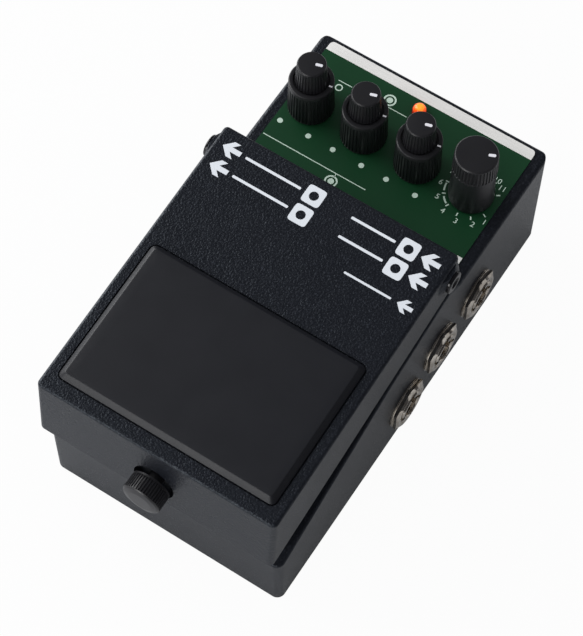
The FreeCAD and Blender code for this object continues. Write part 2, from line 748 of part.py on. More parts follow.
def ear(side):
    """A conical ear that stands out round the hinge pin."""
    root = side * (TREADLE_HALF_W - TREADLE_WALL)
    face = side * EAR_FACE_X
    plain = Part.makeCylinder(EAR_R, TREADLE_WALL, Vector(root, HINGE_Y, HINGE_Z), Vector(side, 0, 0))
    cone = Part.makeCone(EAR_R, EAR_FACE_R, EAR_FACE_X - TREADLE_HALF_W,
                         Vector(side * TREADLE_HALF_W, HINGE_Y, HINGE_Z), Vector(side, 0, 0))
    solid = plain.fuse(cone)
    reach = abs(face) + 1
    under_top = side_prism([(HINGE_Y - PAST, treadle_top_z(HINGE_Y - PAST) - EAR_DROP),
                            (TREADLE_REAR_Y, treadle_top_z(TREADLE_REAR_Y) - EAR_DROP),
                            (TREADLE_REAR_Y, HINGE_Z - PAST), (HINGE_Y - PAST, HINGE_Z - PAST)],
                           -reach, reach)
    return solid.common(under_top)


def pad_cut(grow, low, high):
    """The pad's footprint as a prism that follows the treadle's slope."""
    y0 = PAD_FRONT - PAD_GAP * grow
    y1 = PAD_FRONT + PAD_L + PAD_GAP * grow
    half = PAD_W / 2 + PAD_GAP * grow
    points = [(y0, treadle_top_z(y0) + low), (y1, treadle_top_z(y1) + low),
              (y1, treadle_top_z(y1) + high), (y0, treadle_top_z(y0) + high)]
    solid = side_prism(points, -half, half)
    uprights = [e for e in solid.Edges if e.BoundBox.XLength < NEAR and e.BoundBox.YLength < NEAR]
    return solid.makeFillet(PAD_CORNER + PAD_GAP * grow, uprights)


def make_treadle():
    solid = treadle_outer()
    inner_half = TREADLE_HALF_W - TREADLE_WALL
    hollow = side_prism(treadle_outline(TREADLE_WALL, TREADLE_WALL, HOLLOW_PAST), -inner_half, inner_half)
    solid = solid.cut(hollow)
    solid = solid.fuse(ear(-1)).fuse(ear(1))
    boss = rod(BOSS_R, Vector(0, SKIRT_FRONT_Y + TREADLE_WALL - EMBED, THUMB_Z), Vector(0, BOSS_Y, THUMB_Z))
    guide_top = treadle_under_z(SPRING_Y) + EMBED
    guide = upright(GUIDE_R, SPRING_X, SPRING_Y, guide_top - GUIDE_DROP, guide_top)
    solid = solid.fuse(boss).fuse(guide)
    cuts = [pad_cut(1, -PAD_SINK, 5),
            rod(SEAT_R, Vector(0, SKIRT_FRONT_Y - 5, THUMB_Z), Vector(0, SEAT_Y, THUMB_Z)),
            rod(THUMB_SHANK_R + THUMB_BORE_GAP, Vector(0, SEAT_Y - 1, THUMB_Z),
                Vector(0, BOSS_Y + 1, THUMB_Z))]
    pocket_front = TREADLE_REAR_Y - POCKET_LENGTH
    for side in (-1, 1):
        x0, x1 = sorted((side * (LUG_INNER_X - POCKET_SIDE), side * inner_half))
        cuts.append(side_prism([(pocket_front, treadle_under_z(pocket_front) - 1),
                                (TREADLE_REAR_Y + 1, treadle_under_z(TREADLE_REAR_Y + 1) - 1),
                                (TREADLE_REAR_Y + 1, treadle_under_z(TREADLE_REAR_Y + 1) + POCKET_DEPTH),
                                (pocket_front, treadle_under_z(pocket_front) + POCKET_DEPTH)], x0, x1))
        cuts.append(rod(PIN_R + PIN_CLEAR, Vector(side * (inner_half - 1), HINGE_Y, HINGE_Z),
                        Vector(side * (EAR_FACE_X + 1), HINGE_Y, HINGE_Z)))
        cuts.append(rod(PIN_HEAD_R + PIN_CLEAR, Vector(side * (PIN_FACE_X - PIN_HEAD_T), HINGE_Y, HINGE_Z),
                        Vector(side * (EAR_FACE_X + 1), HINGE_Y, HINGE_Z)))
    for piece in cuts:
        solid = solid.cut(piece)
    return one_solid(solid)


def make_treadle_pad():
    pad = pad_cut(0, -PAD_SINK, PAD_RISE)
    rims = []
    for edge in pad.Edges:
        middle = edge.valueAt((edge.FirstParameter + edge.LastParameter) / 2)
        if abs(middle.z - treadle_top_z(middle.y) - PAD_RISE) < NEAR:
            rims.append(edge)
    return one_solid(pad.makeChamfer(PAD_BEVEL, rims))


def make_hinge_pins():
    pins = []
    for side in (-1, 1):
        tail = side * (LUG_INNER_X - CLIP_T - PIN_TAIL)
        dish_floor = Vector(side * (PIN_FACE_X - PIN_DISH_DEPTH), HINGE_Y, HINGE_Z)
        pin = rod(PIN_R, Vector(tail, HINGE_Y, HINGE_Z), dish_floor)
        head = rod(PIN_HEAD_R, Vector(side * (PIN_FACE_X - PIN_HEAD_T), HINGE_Y, HINGE_Z),
                   Vector(side * PIN_FACE_X, HINGE_Y, HINGE_Z))
        rim = [e for e in head.Edges
               if abs(e.BoundBox.XMin - side * PIN_FACE_X) < NEAR and e.BoundBox.YLength > 1]
        head = head.makeFillet(PIN_HEAD_EDGE, rim)
        dish = rod(PIN_DISH_R, dish_floor, Vector(side * (PIN_FACE_X + 1), HINGE_Y, HINGE_Z))
        pins.append(one_solid(pin.fuse(head).cut(dish)))
    return group(pins)


def make_hinge_clips():
    clips = []
    for side in (-1, 1):
        start = Vector(side * (LUG_INNER_X - PLAY), HINGE_Y, HINGE_Z)
        end = Vector(side * (LUG_INNER_X - PLAY - CLIP_T), HINGE_Y, HINGE_Z)
        clip = rod(CLIP_R, start, end).cut(rod(PIN_R, start, end))
        low_x, high_x = sorted((start.x, end.x))
        mouth = block(low_x - 1, high_x + 1, HINGE_Y - 1, HINGE_Y + 1, HINGE_Z - CLIP_R - 1, HINGE_Z)
        clips.append(one_solid(clip.cut(mouth)))
    return group(clips)


def make_thumbscrew():
    face = THUMB_FACE_Y
    back = THUMB_FACE_Y + THUMB_L - THUMB_WASHER_T
    barrel = ribbed_grip(THUMB_R, THUMB_R, THUMB_RIB, THUMB_RIBS, 0, back - face - THUMB_DOME, 0, 0)
    shape = turned([(0, -THUMB_DOME), (THUMB_FLAT_R, -THUMB_DOME), (THUMB_R - THUMB_EDGE, 0), (0, 0)], 0, 0)
    screw = barrel.fuse(shape)
    screw.Placement = FreeCAD.Placement(Vector(0, face + THUMB_DOME, THUMB_Z), FreeCAD.Rotation(X_AXIS, -90))
    shank = rod(THUMB_SHANK_R, Vector(0, back - 1, THUMB_Z), Vector(0, THUMB_TIP_Y - THUMB_TIP, THUMB_Z))
    tip = Part.makeCone(THUMB_SHANK_R, THUMB_SHANK_R - THUMB_TIP, THUMB_TIP,
                        Vector(0, THUMB_TIP_Y - THUMB_TIP, THUMB_Z), Y_AXIS)
    return one_solid(screw.fuse(shank).fuse(tip))


def make_thumbscrew_washer():
    back = THUMB_FACE_Y + THUMB_L
    start = Vector(0, back - THUMB_WASHER_T, THUMB_Z)
    end = Vector(0, back, THUMB_Z)
    return one_solid(rod(THUMB_R - PLAY, start, end).cut(rod(THUMB_SHANK_R + THUMB_BORE_GAP, start, end)))


def biarc(p0, t0, p1, t1):
    """Two arcs from p0 to p1 with the given end directions."""
    chord = p1 - p0
    both = t0 + t1
    bend = 2 * (1 - t0.dot(t1))
    along = chord.dot(both)
    d = (-along + math.sqrt(along * along + bend * chord.dot(chord))) / bend
    middle = (p0 + p1 + (t0 - t1) * d) * 0.5
    return [arc_from(p0, p0 + t0 * d, middle), arc_from(middle, p1 - t1 * d, p1)]


def arc_from(start, corner, end):
    """An arc between two points whose end tangents meet at a corner."""
    half = (end - start) * 0.5
    foot = start + half
    rise = corner - foot
    angle = math.atan2(rise.Length, half.Length)
    crown = foot + rise.normalize() * (half.Length * math.tan(angle / 2))
    return Part.Arc(start, crown, end).toShape()


def spring_point(share):
    """A point of the spring's wire; its end turns lie closer than the rest."""
    turns = share * SPRING_TURNS
    angle = 2 * math.pi * turns
    low = SPRING_LOW + WIRE_R
    high = SPRING_HIGH - WIRE_R
    closed = SPRING_END_PITCH
    pitch = (high - low - 2 * closed) / (SPRING_TURNS - 2)
    if turns < 1:
        z = low + closed * turns
    elif turns > SPRING_TURNS - 1:
        z = high - closed * (SPRING_TURNS - turns)
    else:
        z = low + closed + pitch * (turns - 1)
    return Vector(SPRING_X + SPRING_R * math.cos(angle), SPRING_Y + SPRING_R * math.sin(angle), z)


def spring_tangent(share):
    step = 0.0005
    before = spring_point(max(0.0, share - step))
    after = spring_point(min(1.0, share + step))
    return (after - before).normalize()


def make_treadle_spring():
    quarters = SPRING_TURNS * 4
    edges = []
    for n in range(quarters):
        a = n / quarters
        b = (n + 1) / quarters
        edges += biarc(spring_point(a), spring_tangent(a), spring_point(b), spring_tangent(b))
    path = Part.Wire(edges)
    ring = Part.Wire(Part.Circle(spring_point(0), spring_tangent(0), WIRE_R).toShape())
    coil = path.makePipeShell([ring], True, False)
    count = SPRING_TURNS * 80
    samples = [spring_point(n / count) for n in range(count + 1)]
    least = min((samples[i] - samples[j]).Length for i in range(count + 1) for j in range(i + 60, count + 1))
    print("spring wire's least gap to itself %.2f mm" % (least - 2 * WIRE_R))
    return coil.Solids[0]


def make_spring_cup():
    cup = upright(CUP_R, SPRING_X, SPRING_Y, DECK_TOP, DECK_TOP + CUP_RISE)
    cup = cup.cut(upright(SPRING_R + WIRE_R + CUP_GAP, SPRING_X, SPRING_Y,
                          DECK_TOP + CUP_FLOOR, DECK_TOP + CUP_RISE + 1))
    core = upright(SPRING_R - WIRE_R - CUP_CORE_GAP, SPRING_X, SPRING_Y, DECK_TOP, DECK_TOP + CUP_RISE)
    return one_solid(cup.fuse(core))


def make_foot_switch():
    top = DECK_UNDER
    half = SWITCH_SIZE / 2
    body = block(-half, half, SWITCH_Y - half, SWITCH_Y + half, top - SWITCH_H, top)
    free = BUTTON_TRAVEL + DECK_HOLE_GAP
    body = body.cut(upright(BUTTON_FLANGE_R + DECK_HOLE_GAP, 0, SWITCH_Y,
                            top - BUTTON_FLANGE_DROP - free, top + 1))
    body = body.cut(upright(BUTTON_STEM_R + BUTTON_GAP, 0, SWITCH_Y, top - BUTTON_STEM_DROP - free, top))
    for side in (-1, 1):
        leg_y = SWITCH_Y + side * (half - SWITCH_LEG)
        for x in (-half / 2, half / 2):
            body = body.fuse(block(x - SWITCH_LEG, x + SWITCH_LEG,
                                   leg_y - SWITCH_LEG / 2, leg_y + SWITCH_LEG / 2,
                                   top - SWITCH_H - SWITCH_LEG_L, top - SWITCH_H + 1))
    return one_solid(body)


def make_foot_button():
    top = DECK_UNDER
    low = top - BUTTON_FLANGE_DROP
    button = upright(BUTTON_R, 0, SWITCH_Y, low, BUTTON_TOP)
    button = button.fuse(upright(BUTTON_FLANGE_R, 0, SWITCH_Y, low, low + BUTTON_FLANGE_T))
    button = button.fuse(upright(BUTTON_STEM_R, 0, SWITCH_Y, top - BUTTON_STEM_DROP, low))
    rim = [e for e in button.Edges if abs(e.BoundBox.ZMin - BUTTON_TOP) < NEAR]
    return one_solid(button.makeFillet(BUTTON_EDGE, rim))


def make_plunger():
    seat = treadle_under_z(SWITCH_Y - PLUNGER_FLANGE_R)
    low = BUTTON_TOP + PLUNGER_GAP
    stem = upright(PLUNGER_R, 0, SWITCH_Y, low, seat)
    flange = upright(PLUNGER_FLANGE_R, 0, SWITCH_Y, seat - PLUNGER_FLANGE_T, seat + 2)
    under = side_prism([(0, treadle_under_z(0)), (HINGE_Y, treadle_under_z(HINGE_Y)),
                        (HINGE_Y, 0), (0, 0)], -PAST, PAST)
    return one_solid(stem.fuse(flange).common(under))


def make_control_label():
    label = rounded_block(LABEL_HALF_W, LABEL_FRONT_Y, LABEL_REAR_Y, LABEL_CORNER, CASE_TOP, LABEL_TOP)
    front = block(-LABEL_HALF_W, LABEL_HALF_W, LABEL_FRONT_Y, LABEL_FRONT_Y + LABEL_CORNER + 1,
                  CASE_TOP, LABEL_TOP)
    label = label.fuse(front)
    for x in KNOB_XS + (MODE_X,):
        label = label.cut(upright(BUSH_R + LABEL_HOLE_GAP, x, KNOB_Y, CASE_TOP - 1, LABEL_TOP + 1))
    label = label.cut(upright(LAMP_R + LABEL_HOLE_GAP, LAMP_X, LAMP_Y, CASE_TOP - 1, LABEL_TOP + 1))
    return one_solid(label)


def make_pot(x):
    half = POT_SIZE / 2
    body = block(x - half, x + half, KNOB_Y - half, KNOB_Y + half, CONTROL_BOARD_TOP, BOX_CEILING)
    body = body.fuse(upright(BUSH_R, x, KNOB_Y, BOX_CEILING, BUSH_TOP))
    body = body.cut(upright(SLEEVE_R + RUN_GAP, x, KNOB_Y, POT_SLEEVE_END, BUSH_TOP + 1))
    body = body.cut(upright(SHAFT_R + RUN_GAP, x, KNOB_Y, POT_SHAFT_END, BUSH_TOP))
    return one_solid(body)


def make_sleeve(x):
    sleeve = upright(SLEEVE_R, x, KNOB_Y, POT_SLEEVE_END + PLAY, SLEEVE_TOP)
    return one_solid(sleeve.cut(upright(SHAFT_R + RUN_GAP, x, KNOB_Y, 0, SLEEVE_TOP + 1)))


def make_inner_shaft(x):
    return upright(SHAFT_R, x, KNOB_Y, POT_SHAFT_END + PLAY, SHAFT_TOP)


def make_outer_knob(x):
    ribbed = ribbed_grip(OUTER_FOOT_R, OUTER_R, OUTER_RIB, OUTER_RIBS,
                         KNOB_BOTTOM, OUTER_TOP - RIM_H, x, KNOB_Y)
    shape = turned([(0, KNOB_BOTTOM), (OUTER_FOOT_R + 1, KNOB_BOTTOM), (OUTER_FOOT_R + 1, OUTER_TOP - RIM_H),
                    (OUTER_R - PLAY, OUTER_TOP - RIM_H), (OUTER_R - PLAY, OUTER_TOP - KNOB_EDGE),
                    (OUTER_R - PLAY - KNOB_EDGE, OUTER_TOP), (0, OUTER_TOP)], x, KNOB_Y)
    rim = upright(OUTER_R, x, KNOB_Y, OUTER_TOP - RIM_H, OUTER_TOP)
    knob = ribbed.fuse(rim).common(shape)
    knob = knob.cut(upright(CAVITY_R, x, KNOB_Y, KNOB_BOTTOM - 1, KNOB_BOTTOM + CAVITY_H))
    knob = knob.cut(upright(SLEEVE_R, x, KNOB_Y, KNOB_BOTTOM, OUTER_TOP + 1))
    knob = knob.cut(upright(GROOVE_R, x, KNOB_Y, OUTER_TOP - GROOVE_DEPTH, OUTER_TOP + 1))
    return one_solid(knob)


def capped_knob(foot_radius, radius, rib, ribs, z0, z1, x):
    """A ribbed cap with a bevelled top edge."""
    ribbed = ribbed_grip(foot_radius, radius, rib, ribs, z0, z1, x, KNOB_Y)
    shape = turned([(0, z0), (foot_radius + 1, z0), (radius + 1, z1 - KNOB_EDGE - 1),
                    (radius - KNOB_EDGE, z1), (0, z1)], x, KNOB_Y)
    return ribbed.common(shape)


def make_inner_knob(x):
    knob = capped_knob(INNER_FOOT_R, INNER_R, INNER_RIB, INNER_RIBS, INNER_BOTTOM, INNER_TOP, x)
    return one_solid(knob.cut(upright(SHAFT_R, x, KNOB_Y, INNER_BOTTOM - 1, SHAFT_TOP)))


def make_mode_knob():
    upper = capped_knob(MODE_FOOT_R, MODE_R, OUTER_RIB, MODE_RIBS, MODE_RIB_BOTTOM, MODE_TOP, MODE_X)
    skirt = turned([(0, KNOB_BOTTOM), (MODE_SKIRT_R, KNOB_BOTTOM),
                    (MODE_SKIRT_R, KNOB_BOTTOM + MODE_SKIRT_LIP),
                    (MODE_FOOT_R, KNOB_BOTTOM + MODE_SKIRT_H), (MODE_FOOT_R - OUTER_RIB, MODE_RIB_BOTTOM),
                    (0, MODE_RIB_BOTTOM)],
                   MODE_X, KNOB_Y)
    knob = upper.fuse(skirt)
    knob = knob.cut(upright(CAVITY_R, MODE_X, KNOB_Y, KNOB_BOTTOM - 1, KNOB_BOTTOM + CAVITY_H))
    return one_solid(knob.cut(upright(SLEEVE_R, MODE_X, KNOB_Y, KNOB_BOTTOM, MODE_SHAFT_TOP)))


def make_mode_switch():
    half = MODE_SIZE / 2
    body = block(MODE_X - half, MODE_X + half, KNOB_Y - half, KNOB_Y + half, CONTROL_BOARD_TOP, BOX_CEILING)
    body = body.fuse(upright(BUSH_R, MODE_X, KNOB_Y, BOX_CEILING, BUSH_TOP))
    return one_solid(body.cut(upright(SLEEVE_R + RUN_GAP, MODE_X, KNOB_Y, POT_SHAFT_END, BUSH_TOP + 1)))


def make_mode_shaft():
    return upright(SLEEVE_R, MODE_X, KNOB_Y, POT_SHAFT_END + PLAY, MODE_SHAFT_TOP)


def make_control_nuts():
    nuts = []
    for x in KNOB_XS + (MODE_X,):
        nut = hex_nut(NUT_AF, Vector(x, KNOB_Y, LABEL_TOP), Z_AXIS, NUT_H)
        nuts.append(one_solid(nut.cut(upright(BUSH_R, x, KNOB_Y, LABEL_TOP - 1, LABEL_TOP + NUT_H + 1))))
    return group(nuts)


def make_lamp():
    lens_top = LAMP_TOP - LAMP_R
    lamp = upright(LAMP_R, LAMP_X, LAMP_Y, LAMP_FLANGE_Z, lens_top)
    dome = Part.makeSphere(LAMP_R, Vector(LAMP_X, LAMP_Y, lens_top), Z_AXIS, 0, LAMP_DOME_ANGLE)
    lamp = lamp.fuse(dome)
    lamp = lamp.fuse(upright(LAMP_FLANGE_R, LAMP_X, LAMP_Y, LAMP_FLANGE_Z, LAMP_FLANGE_Z + LAMP_FLANGE_T))
    for side in (-0.5, 0.5):
        lamp = lamp.fuse(upright(LAMP_LEAD_R, LAMP_X + side * LAMP_LEAD_PITCH, LAMP_Y,
                                 CONTROL_BOARD_TOP, LAMP_FLANGE_Z + 1))
    return one_solid(lamp)


def make_lamp_spacer():
    tube = upright(SPACER_R, LAMP_X, LAMP_Y, CONTROL_BOARD_TOP, LAMP_FLANGE_Z)
    return one_solid(tube.cut(upright(SPACER_BORE, LAMP_X, LAMP_Y, CONTROL_BOARD_TOP - 1, LAMP_FLANGE_Z + 1)))


def make_control_board():
    board = block(-CONTROL_BOARD_HALF_W, CONTROL_BOARD_HALF_W, CONTROL_BOARD_Y0, CONTROL_BOARD_Y1,
                  CONTROL_BOARD_Z, CONTROL_BOARD_TOP)
    for side in (-1, 1):
        x0, x1 = sorted((side * (SCREW_X - POST_R - EMBED), side * (CONTROL_BOARD_HALF_W + 1)))
        board = board.cut(block(x0, x1, CONTROL_BOARD_Y1 - BOARD_CORNER_CUT - 1, CONTROL_BOARD_Y1 + 1,
                                CONTROL_BOARD_Z - 1, CONTROL_BOARD_TOP + 1))
    return one_solid(board)


def make_main_board():
    board = block(-MAIN_BOARD_HALF_W, MAIN_BOARD_HALF_W, MAIN_BOARD_Y0, MAIN_BOARD_Y1,
                  MAIN_BOARD_Z, MAIN_BOARD_TOP)
    for x in (-STANDOFF_X, STANDOFF_X):
        board = board.cut(upright(BOARD_SCREW_R + PLAY, x, STANDOFF_Y, MAIN_BOARD_Z - 1, MAIN_BOARD_TOP + 1))
    return one_solid(board)


def make_board_screws():
    screws = []
    for x in (-STANDOFF_X, STANDOFF_X):
        screw = upright(BOARD_SCREW_R, x, STANDOFF_Y, MAIN_BOARD_Z, MAIN_BOARD_TOP + BOARD_SCREW_L - PLAY)
        head_low = MAIN_BOARD_Z - BOARD_SCREW_HEAD_H
        screw = screw.fuse(upright(BOARD_SCREW_HEAD_R, x, STANDOFF_Y, head_low, MAIN_BOARD_Z))
        screws.append(one_solid(screw))
    return group(screws)


def make_insulating_sheet():
    sheet = block(-MAIN_BOARD_HALF_W, MAIN_BOARD_HALF_W, SHEET_FRONT_Y, MAIN_BOARD_Y1,
                  PLATE_TOP, PLATE_TOP + SHEET_T)
    front = SHEET_FRONT_Y + SHEET_FOOT_INSET
    rear = MAIN_BOARD_Y1 - SHEET_FOOT_INSET
    for x in (-SHEET_FOOT_X, SHEET_FOOT_X):
        for y in (front, (front + rear) / 2, rear):
            sheet = sheet.fuse(upright(SHEET_FOOT_R, x, y, PLATE_TOP, MAIN_BOARD_Z))
    return one_solid(sheet)


def make_components():
    """The main board's chips and cans, and the header that carries the control board's lines."""
    chips = [block(x0, x1, y0, y1, MAIN_BOARD_TOP, MAIN_BOARD_TOP + height)
             for x0, x1, y0, y1, height in CHIPS]
    cans = [upright(radius, x, y, MAIN_BOARD_TOP, MAIN_BOARD_TOP + height) for x, y, radius, height in CANS]
    header = block(-HEADER_HALF_W, HEADER_HALF_W, HEADER_Y, HEADER_Y + HEADER_T,
                   MAIN_BOARD_TOP, CONTROL_BOARD_Z)
    return group(chips + cans + [header])


def jack_bore(side, y, z):
    """The hole that a plug goes into, from the bushing's face inwards."""
    face = side * JACK_FACE_X
    return rod(PLUG_R, Vector(face + side, y, z), Vector(face - side * JACK_BORE_DEPTH, y, z))


def make_jack(side, y, z):
    """A closed jack body inside the wall, with two of its legs on the main board."""
    inner = side * INNER_HALF_W
    half = JACK_BODY / 2
    x0, x1 = sorted((inner, inner - side * JACK_DEPTH))
    body = block(x0, x1, y - half, y + half, z - half, z + half)
    leg_x = side * (INNER_HALF_W - JACK_DEPTH)
    for step in JACK_LEG_STEPS:
        x = leg_x + side * step
        leg_y = y - half + 1
        body = body.fuse(block(x - JACK_LEG, x + JACK_LEG, leg_y, leg_y + JACK_LEG, MAIN_BOARD_TOP, z))
    seat = rod(JACK_BUSH_R, Vector(inner - side * JACK_SEAT, y, z), Vector(inner + side, y, z))
    return one_solid(body.cut(jack_bore(side, y, z)).cut(seat))


def make_jack_bushings():
    """The threaded bushings that reach out through the walls, with a notched face."""
    bushings = []
    for side, y, z in jack_places():
        face = side * JACK_FACE_X
        start = Vector(side * (INNER_HALF_W - JACK_SEAT), y, z)
        bushing = rod(JACK_BUSH_R, start, Vector(face, y, z)).cut(jack_bore(side, y, z))
        x0, x1 = sorted((face - side * JACK_NOTCH_DEPTH, face + side))
        reach = JACK_BUSH_R + 1
        half = JACK_NOTCH / 2
        bushing = bushing.cut(block(x0, x1, y - half, y + half, z - reach, z + reach))
        bushing = bushing.cut(block(x0, x1, y - reach, y + reach, z - half, z + half))
        bushings.append(one_solid(bushing))
    return group(bushings)


def jack_places():
    return [(1, y, z) for y, z in JACKS_RIGHT] + [(-1, y, z) for y, z in JACKS_LEFT]


def make_jack_washers():
    washers = []
    for side, y, z in jack_places():
        start = Vector(side * HALF_W, y, z)
        end = Vector(side * (HALF_W + WASHER_T), y, z)
        washers.append(one_solid(rod(WASHER_R, start, end).cut(rod(JACK_BUSH_R, start, end))))
    return group(washers)


def make_jack_nuts():
    nuts = []
    for side, y, z in jack_places():
        start = Vector(side * (HALF_W + WASHER_T), y, z)
        end = Vector(side * (HALF_W + WASHER_T + JACK_NUT_H), y, z)
        nut = hex_nut(JACK_NUT_AF, start, Vector(side, 0, 0), JACK_NUT_H)
        bevel = Part.makeCone(WASHER_R + JACK_NUT_BEVEL, WASHER_R - JACK_NUT_BEVEL, JACK_NUT_H, start,
                              Vector(side, 0, 0))
        nuts.append(one_solid(nut.common(bevel).cut(rod(JACK_BUSH_R, start, end))))
    return group(nuts)


def make_power_inlet():
    half = INLET_W / 2
    back = CASE_L + INLET_OUT
    body = block(INLET_X - half, INLET_X + half, REAR_WALL_Y - INLET_DEPTH, REAR_WALL_Y,
                 INLET_Z - INLET_H / 2, INLET_Z + INLET_H / 2)
    floor_y = back - INLET_BORE_DEPTH
    body = body.fuse(rod(INLET_COLLAR_R, Vector(INLET_X, REAR_WALL_Y - 1, INLET_Z),
                         Vector(INLET_X, back, INLET_Z)))
    body = body.cut(rod(INLET_BORE_R, Vector(INLET_X, floor_y, INLET_Z), Vector(INLET_X, back + 1, INLET_Z)))
    body = body.fuse(rod(INLET_PIN_R, Vector(INLET_X, floor_y - 1, INLET_Z),
                         Vector(INLET_X, back - 1, INLET_Z)))
    leg_y = REAR_WALL_Y - INLET_DEPTH + 2
    for x in (INLET_X - INLET_LEG_X, INLET_X + INLET_LEG_X):
        body = body.fuse(block(x - INLET_LEG, x + INLET_LEG, leg_y, leg_y + INLET_LEG,
                               MAIN_BOARD_TOP, INLET_Z))
    return one_solid(body)


def make_battery():
    body = block(BATTERY_X0, BATTERY_X1, BATTERY_Y0, BATTERY_Y0 + BATTERY_W,
                 BATTERY_Z0, BATTERY_Z0 + BATTERY_H)
    long_edges = [e for e in body.Edges if e.BoundBox.XLength > 1]
    body = body.makeFillet(BATTERY_EDGE, long_edges)
    for side in (-0.5, 0.5):
        y = BATTERY_MID_Y + side * TERMINAL_PITCH
        body = body.fuse(rod(TERMINAL_R, Vector(BATTERY_X1 - 1, y, BATTERY_MID_Z),
                             Vector(BATTERY_X1 + TERMINAL_H, y, BATTERY_MID_Z)))
    return one_solid(body)


def make_battery_foam():
    return block(BATTERY_X0 + FOAM_MARGIN, BATTERY_X1 - FOAM_MARGIN, BATTERY_Y0 + FOAM_MARGIN,
                 BATTERY_Y0 + BATTERY_W - FOAM_MARGIN, PLATE_TOP, BATTERY_Z0)


def make_battery_snap():
    x0 = BATTERY_X1 + SNAP_GAP
    x1 = BATTERY_X1 + TERMINAL_H + SNAP_T
    half_w = SNAP_W / 2
    half_h = SNAP_H / 2
    snap = block(x0, x1, BATTERY_MID_Y - half_w, BATTERY_MID_Y + half_w,
                 BATTERY_MID_Z - half_h, BATTERY_MID_Z + half_h)
    edges = [e for e in snap.Edges if e.BoundBox.XLength > 1]
    snap = snap.makeFillet(SNAP_CORNER, edges)
    for side in (-0.5, 0.5):
        y = BATTERY_MID_Y + side * TERMINAL_PITCH
        snap = snap.cut(rod(TERMINAL_R, Vector(x0 - 1, y, BATTERY_MID_Z),
                            Vector(BATTERY_X1 + TERMINAL_H, y, BATTERY_MID_Z)))
    return one_solid(snap)


def make_battery_lead(index):
    """A short lead from the snap, through the partition's notch, down to the main board."""
    x = LEAD_X + (index - 0.5) * LEAD_PITCH
    start = Vector(x, BATTERY_MID_Y + SNAP_W / 2, BATTERY_MID_Z - SNAP_H / 2 + LEAD_RISE)
    drop = start.z - MAIN_BOARD_TOP
    bend_y = PARTITION_Y + PARTITION_THICK + LEAD_RUN
    bend = Vector(x, bend_y, start.z)
    turn = LEAD_BEND_R
    middle = Vector(x, bend_y + turn * math.sin(math.pi / 4), start.z - turn * (1 - math.cos(math.pi / 4)))
    low = Vector(x, bend_y + turn, start.z - turn)
    end = Vector(x, bend_y + turn, start.z - drop)
    print("battery lead's radius %.1f mm, %.1f diameters" % (turn, turn / (2 * LEAD_R)))
    edges = [Part.LineSegment(start, bend).toShape(), Part.Arc(bend, middle, low).toShape(),
             Part.LineSegment(low, end).toShape()]
    ring = Part.Wire(Part.Circle(start, Y_AXIS, LEAD_R).toShape())
    return Part.Wire(edges).makePipeShell([ring], True, False).Solids[0]


def all_parts():
    parts = {
        "case": make_case_box(),
        "case_front": make_case_front(),
        "case_left": make_case_side(-1),
        "case_right": make_case_side(1),
        "case_deck": make_case_deck(),
        "case_frame": make_case_frame(),
        "screw_posts": make_screw_posts(),
        "base_plate": make_base_plate(),
        "base_rubber": make_base_rubber(),
        "base_screws": make_base_screws(),
        "treadle": make_treadle(),
        "treadle_pad": make_treadle_pad(),
        "hinge_pins": make_hinge_pins(),
        "hinge_clips": make_hinge_clips(),
        "thumbscrew": make_thumbscrew(),
        "thumbscrew_washer": make_thumbscrew_washer(),
        "treadle_spring": make_treadle_spring(),
        "spring_cup": make_spring_cup(),
        "foot_switch": make_foot_switch(),
        "foot_switch_button": make_foot_button(),
        "switch_plunger": make_plunger(),
        "control_label": make_control_label(),
        "mode_knob": make_mode_knob(),
        "mode_switch": make_mode_switch(),
        "mode_shaft": make_mode_shaft(),
        "control_nuts": make_control_nuts(),
        "check_lamp": make_lamp(),
        "lamp_spacer": make_lamp_spacer(),
        "control_board": make_control_board(),
        "main_board": make_main_board(),
        "board_screws": make_board_screws(),
        "board_components": make_components(),
        "dual_pots": group([make_pot(x) for x in KNOB_XS]),
        "insulating_sheet": make_insulating_sheet(),
        "jack_bushings": make_jack_bushings(),
        "jack_washers": make_jack_washers(),
        "jack_nuts": make_jack_nuts(),
        "power_inlet": make_power_inlet(),
        "battery": make_battery(),
        "battery_foam": make_battery_foam(),
        "battery_snap": make_battery_snap(),
        "battery_lead_red": make_battery_lead(1),
        "battery_lead_black": make_battery_lead(0),
    }
    for number, x in enumerate(KNOB_XS, 1):
        parts["outer_knob_%d" % number] = make_outer_knob(x)
        parts["inner_knob_%d" % number] = make_inner_knob(x)
        parts["sleeve_shaft_%d" % number] = make_sleeve(x)
        parts["inner_shaft_%d" % number] = make_inner_shaft(x)
    names = ("jack_right_rear", "jack_right_middle", "jack_right_front", "jack_left_rear", "jack_left_middle")
    for name, place in zip(names, jack_places()):
        parts[name] = make_jack(*place)
    return parts


def main():
    os.makedirs("parts", exist_ok=True)
    for name, shape in all_parts().items():
        placed = shape.copy()
        placed.translate(Vector(0, -ORIGIN_Y, 0))
        if not placed.isValid():
            raise ValueError("%s is not a valid shape" % name)
        placed.exportStep("parts/%s.step" % name)
        print("%-22s %8.1f mm3  %d solids" % (name, placed.Volume, len(placed.Solids)))


main()
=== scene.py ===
import json
import math

import bmesh
import bpy
from mathutils import Matrix, Vector


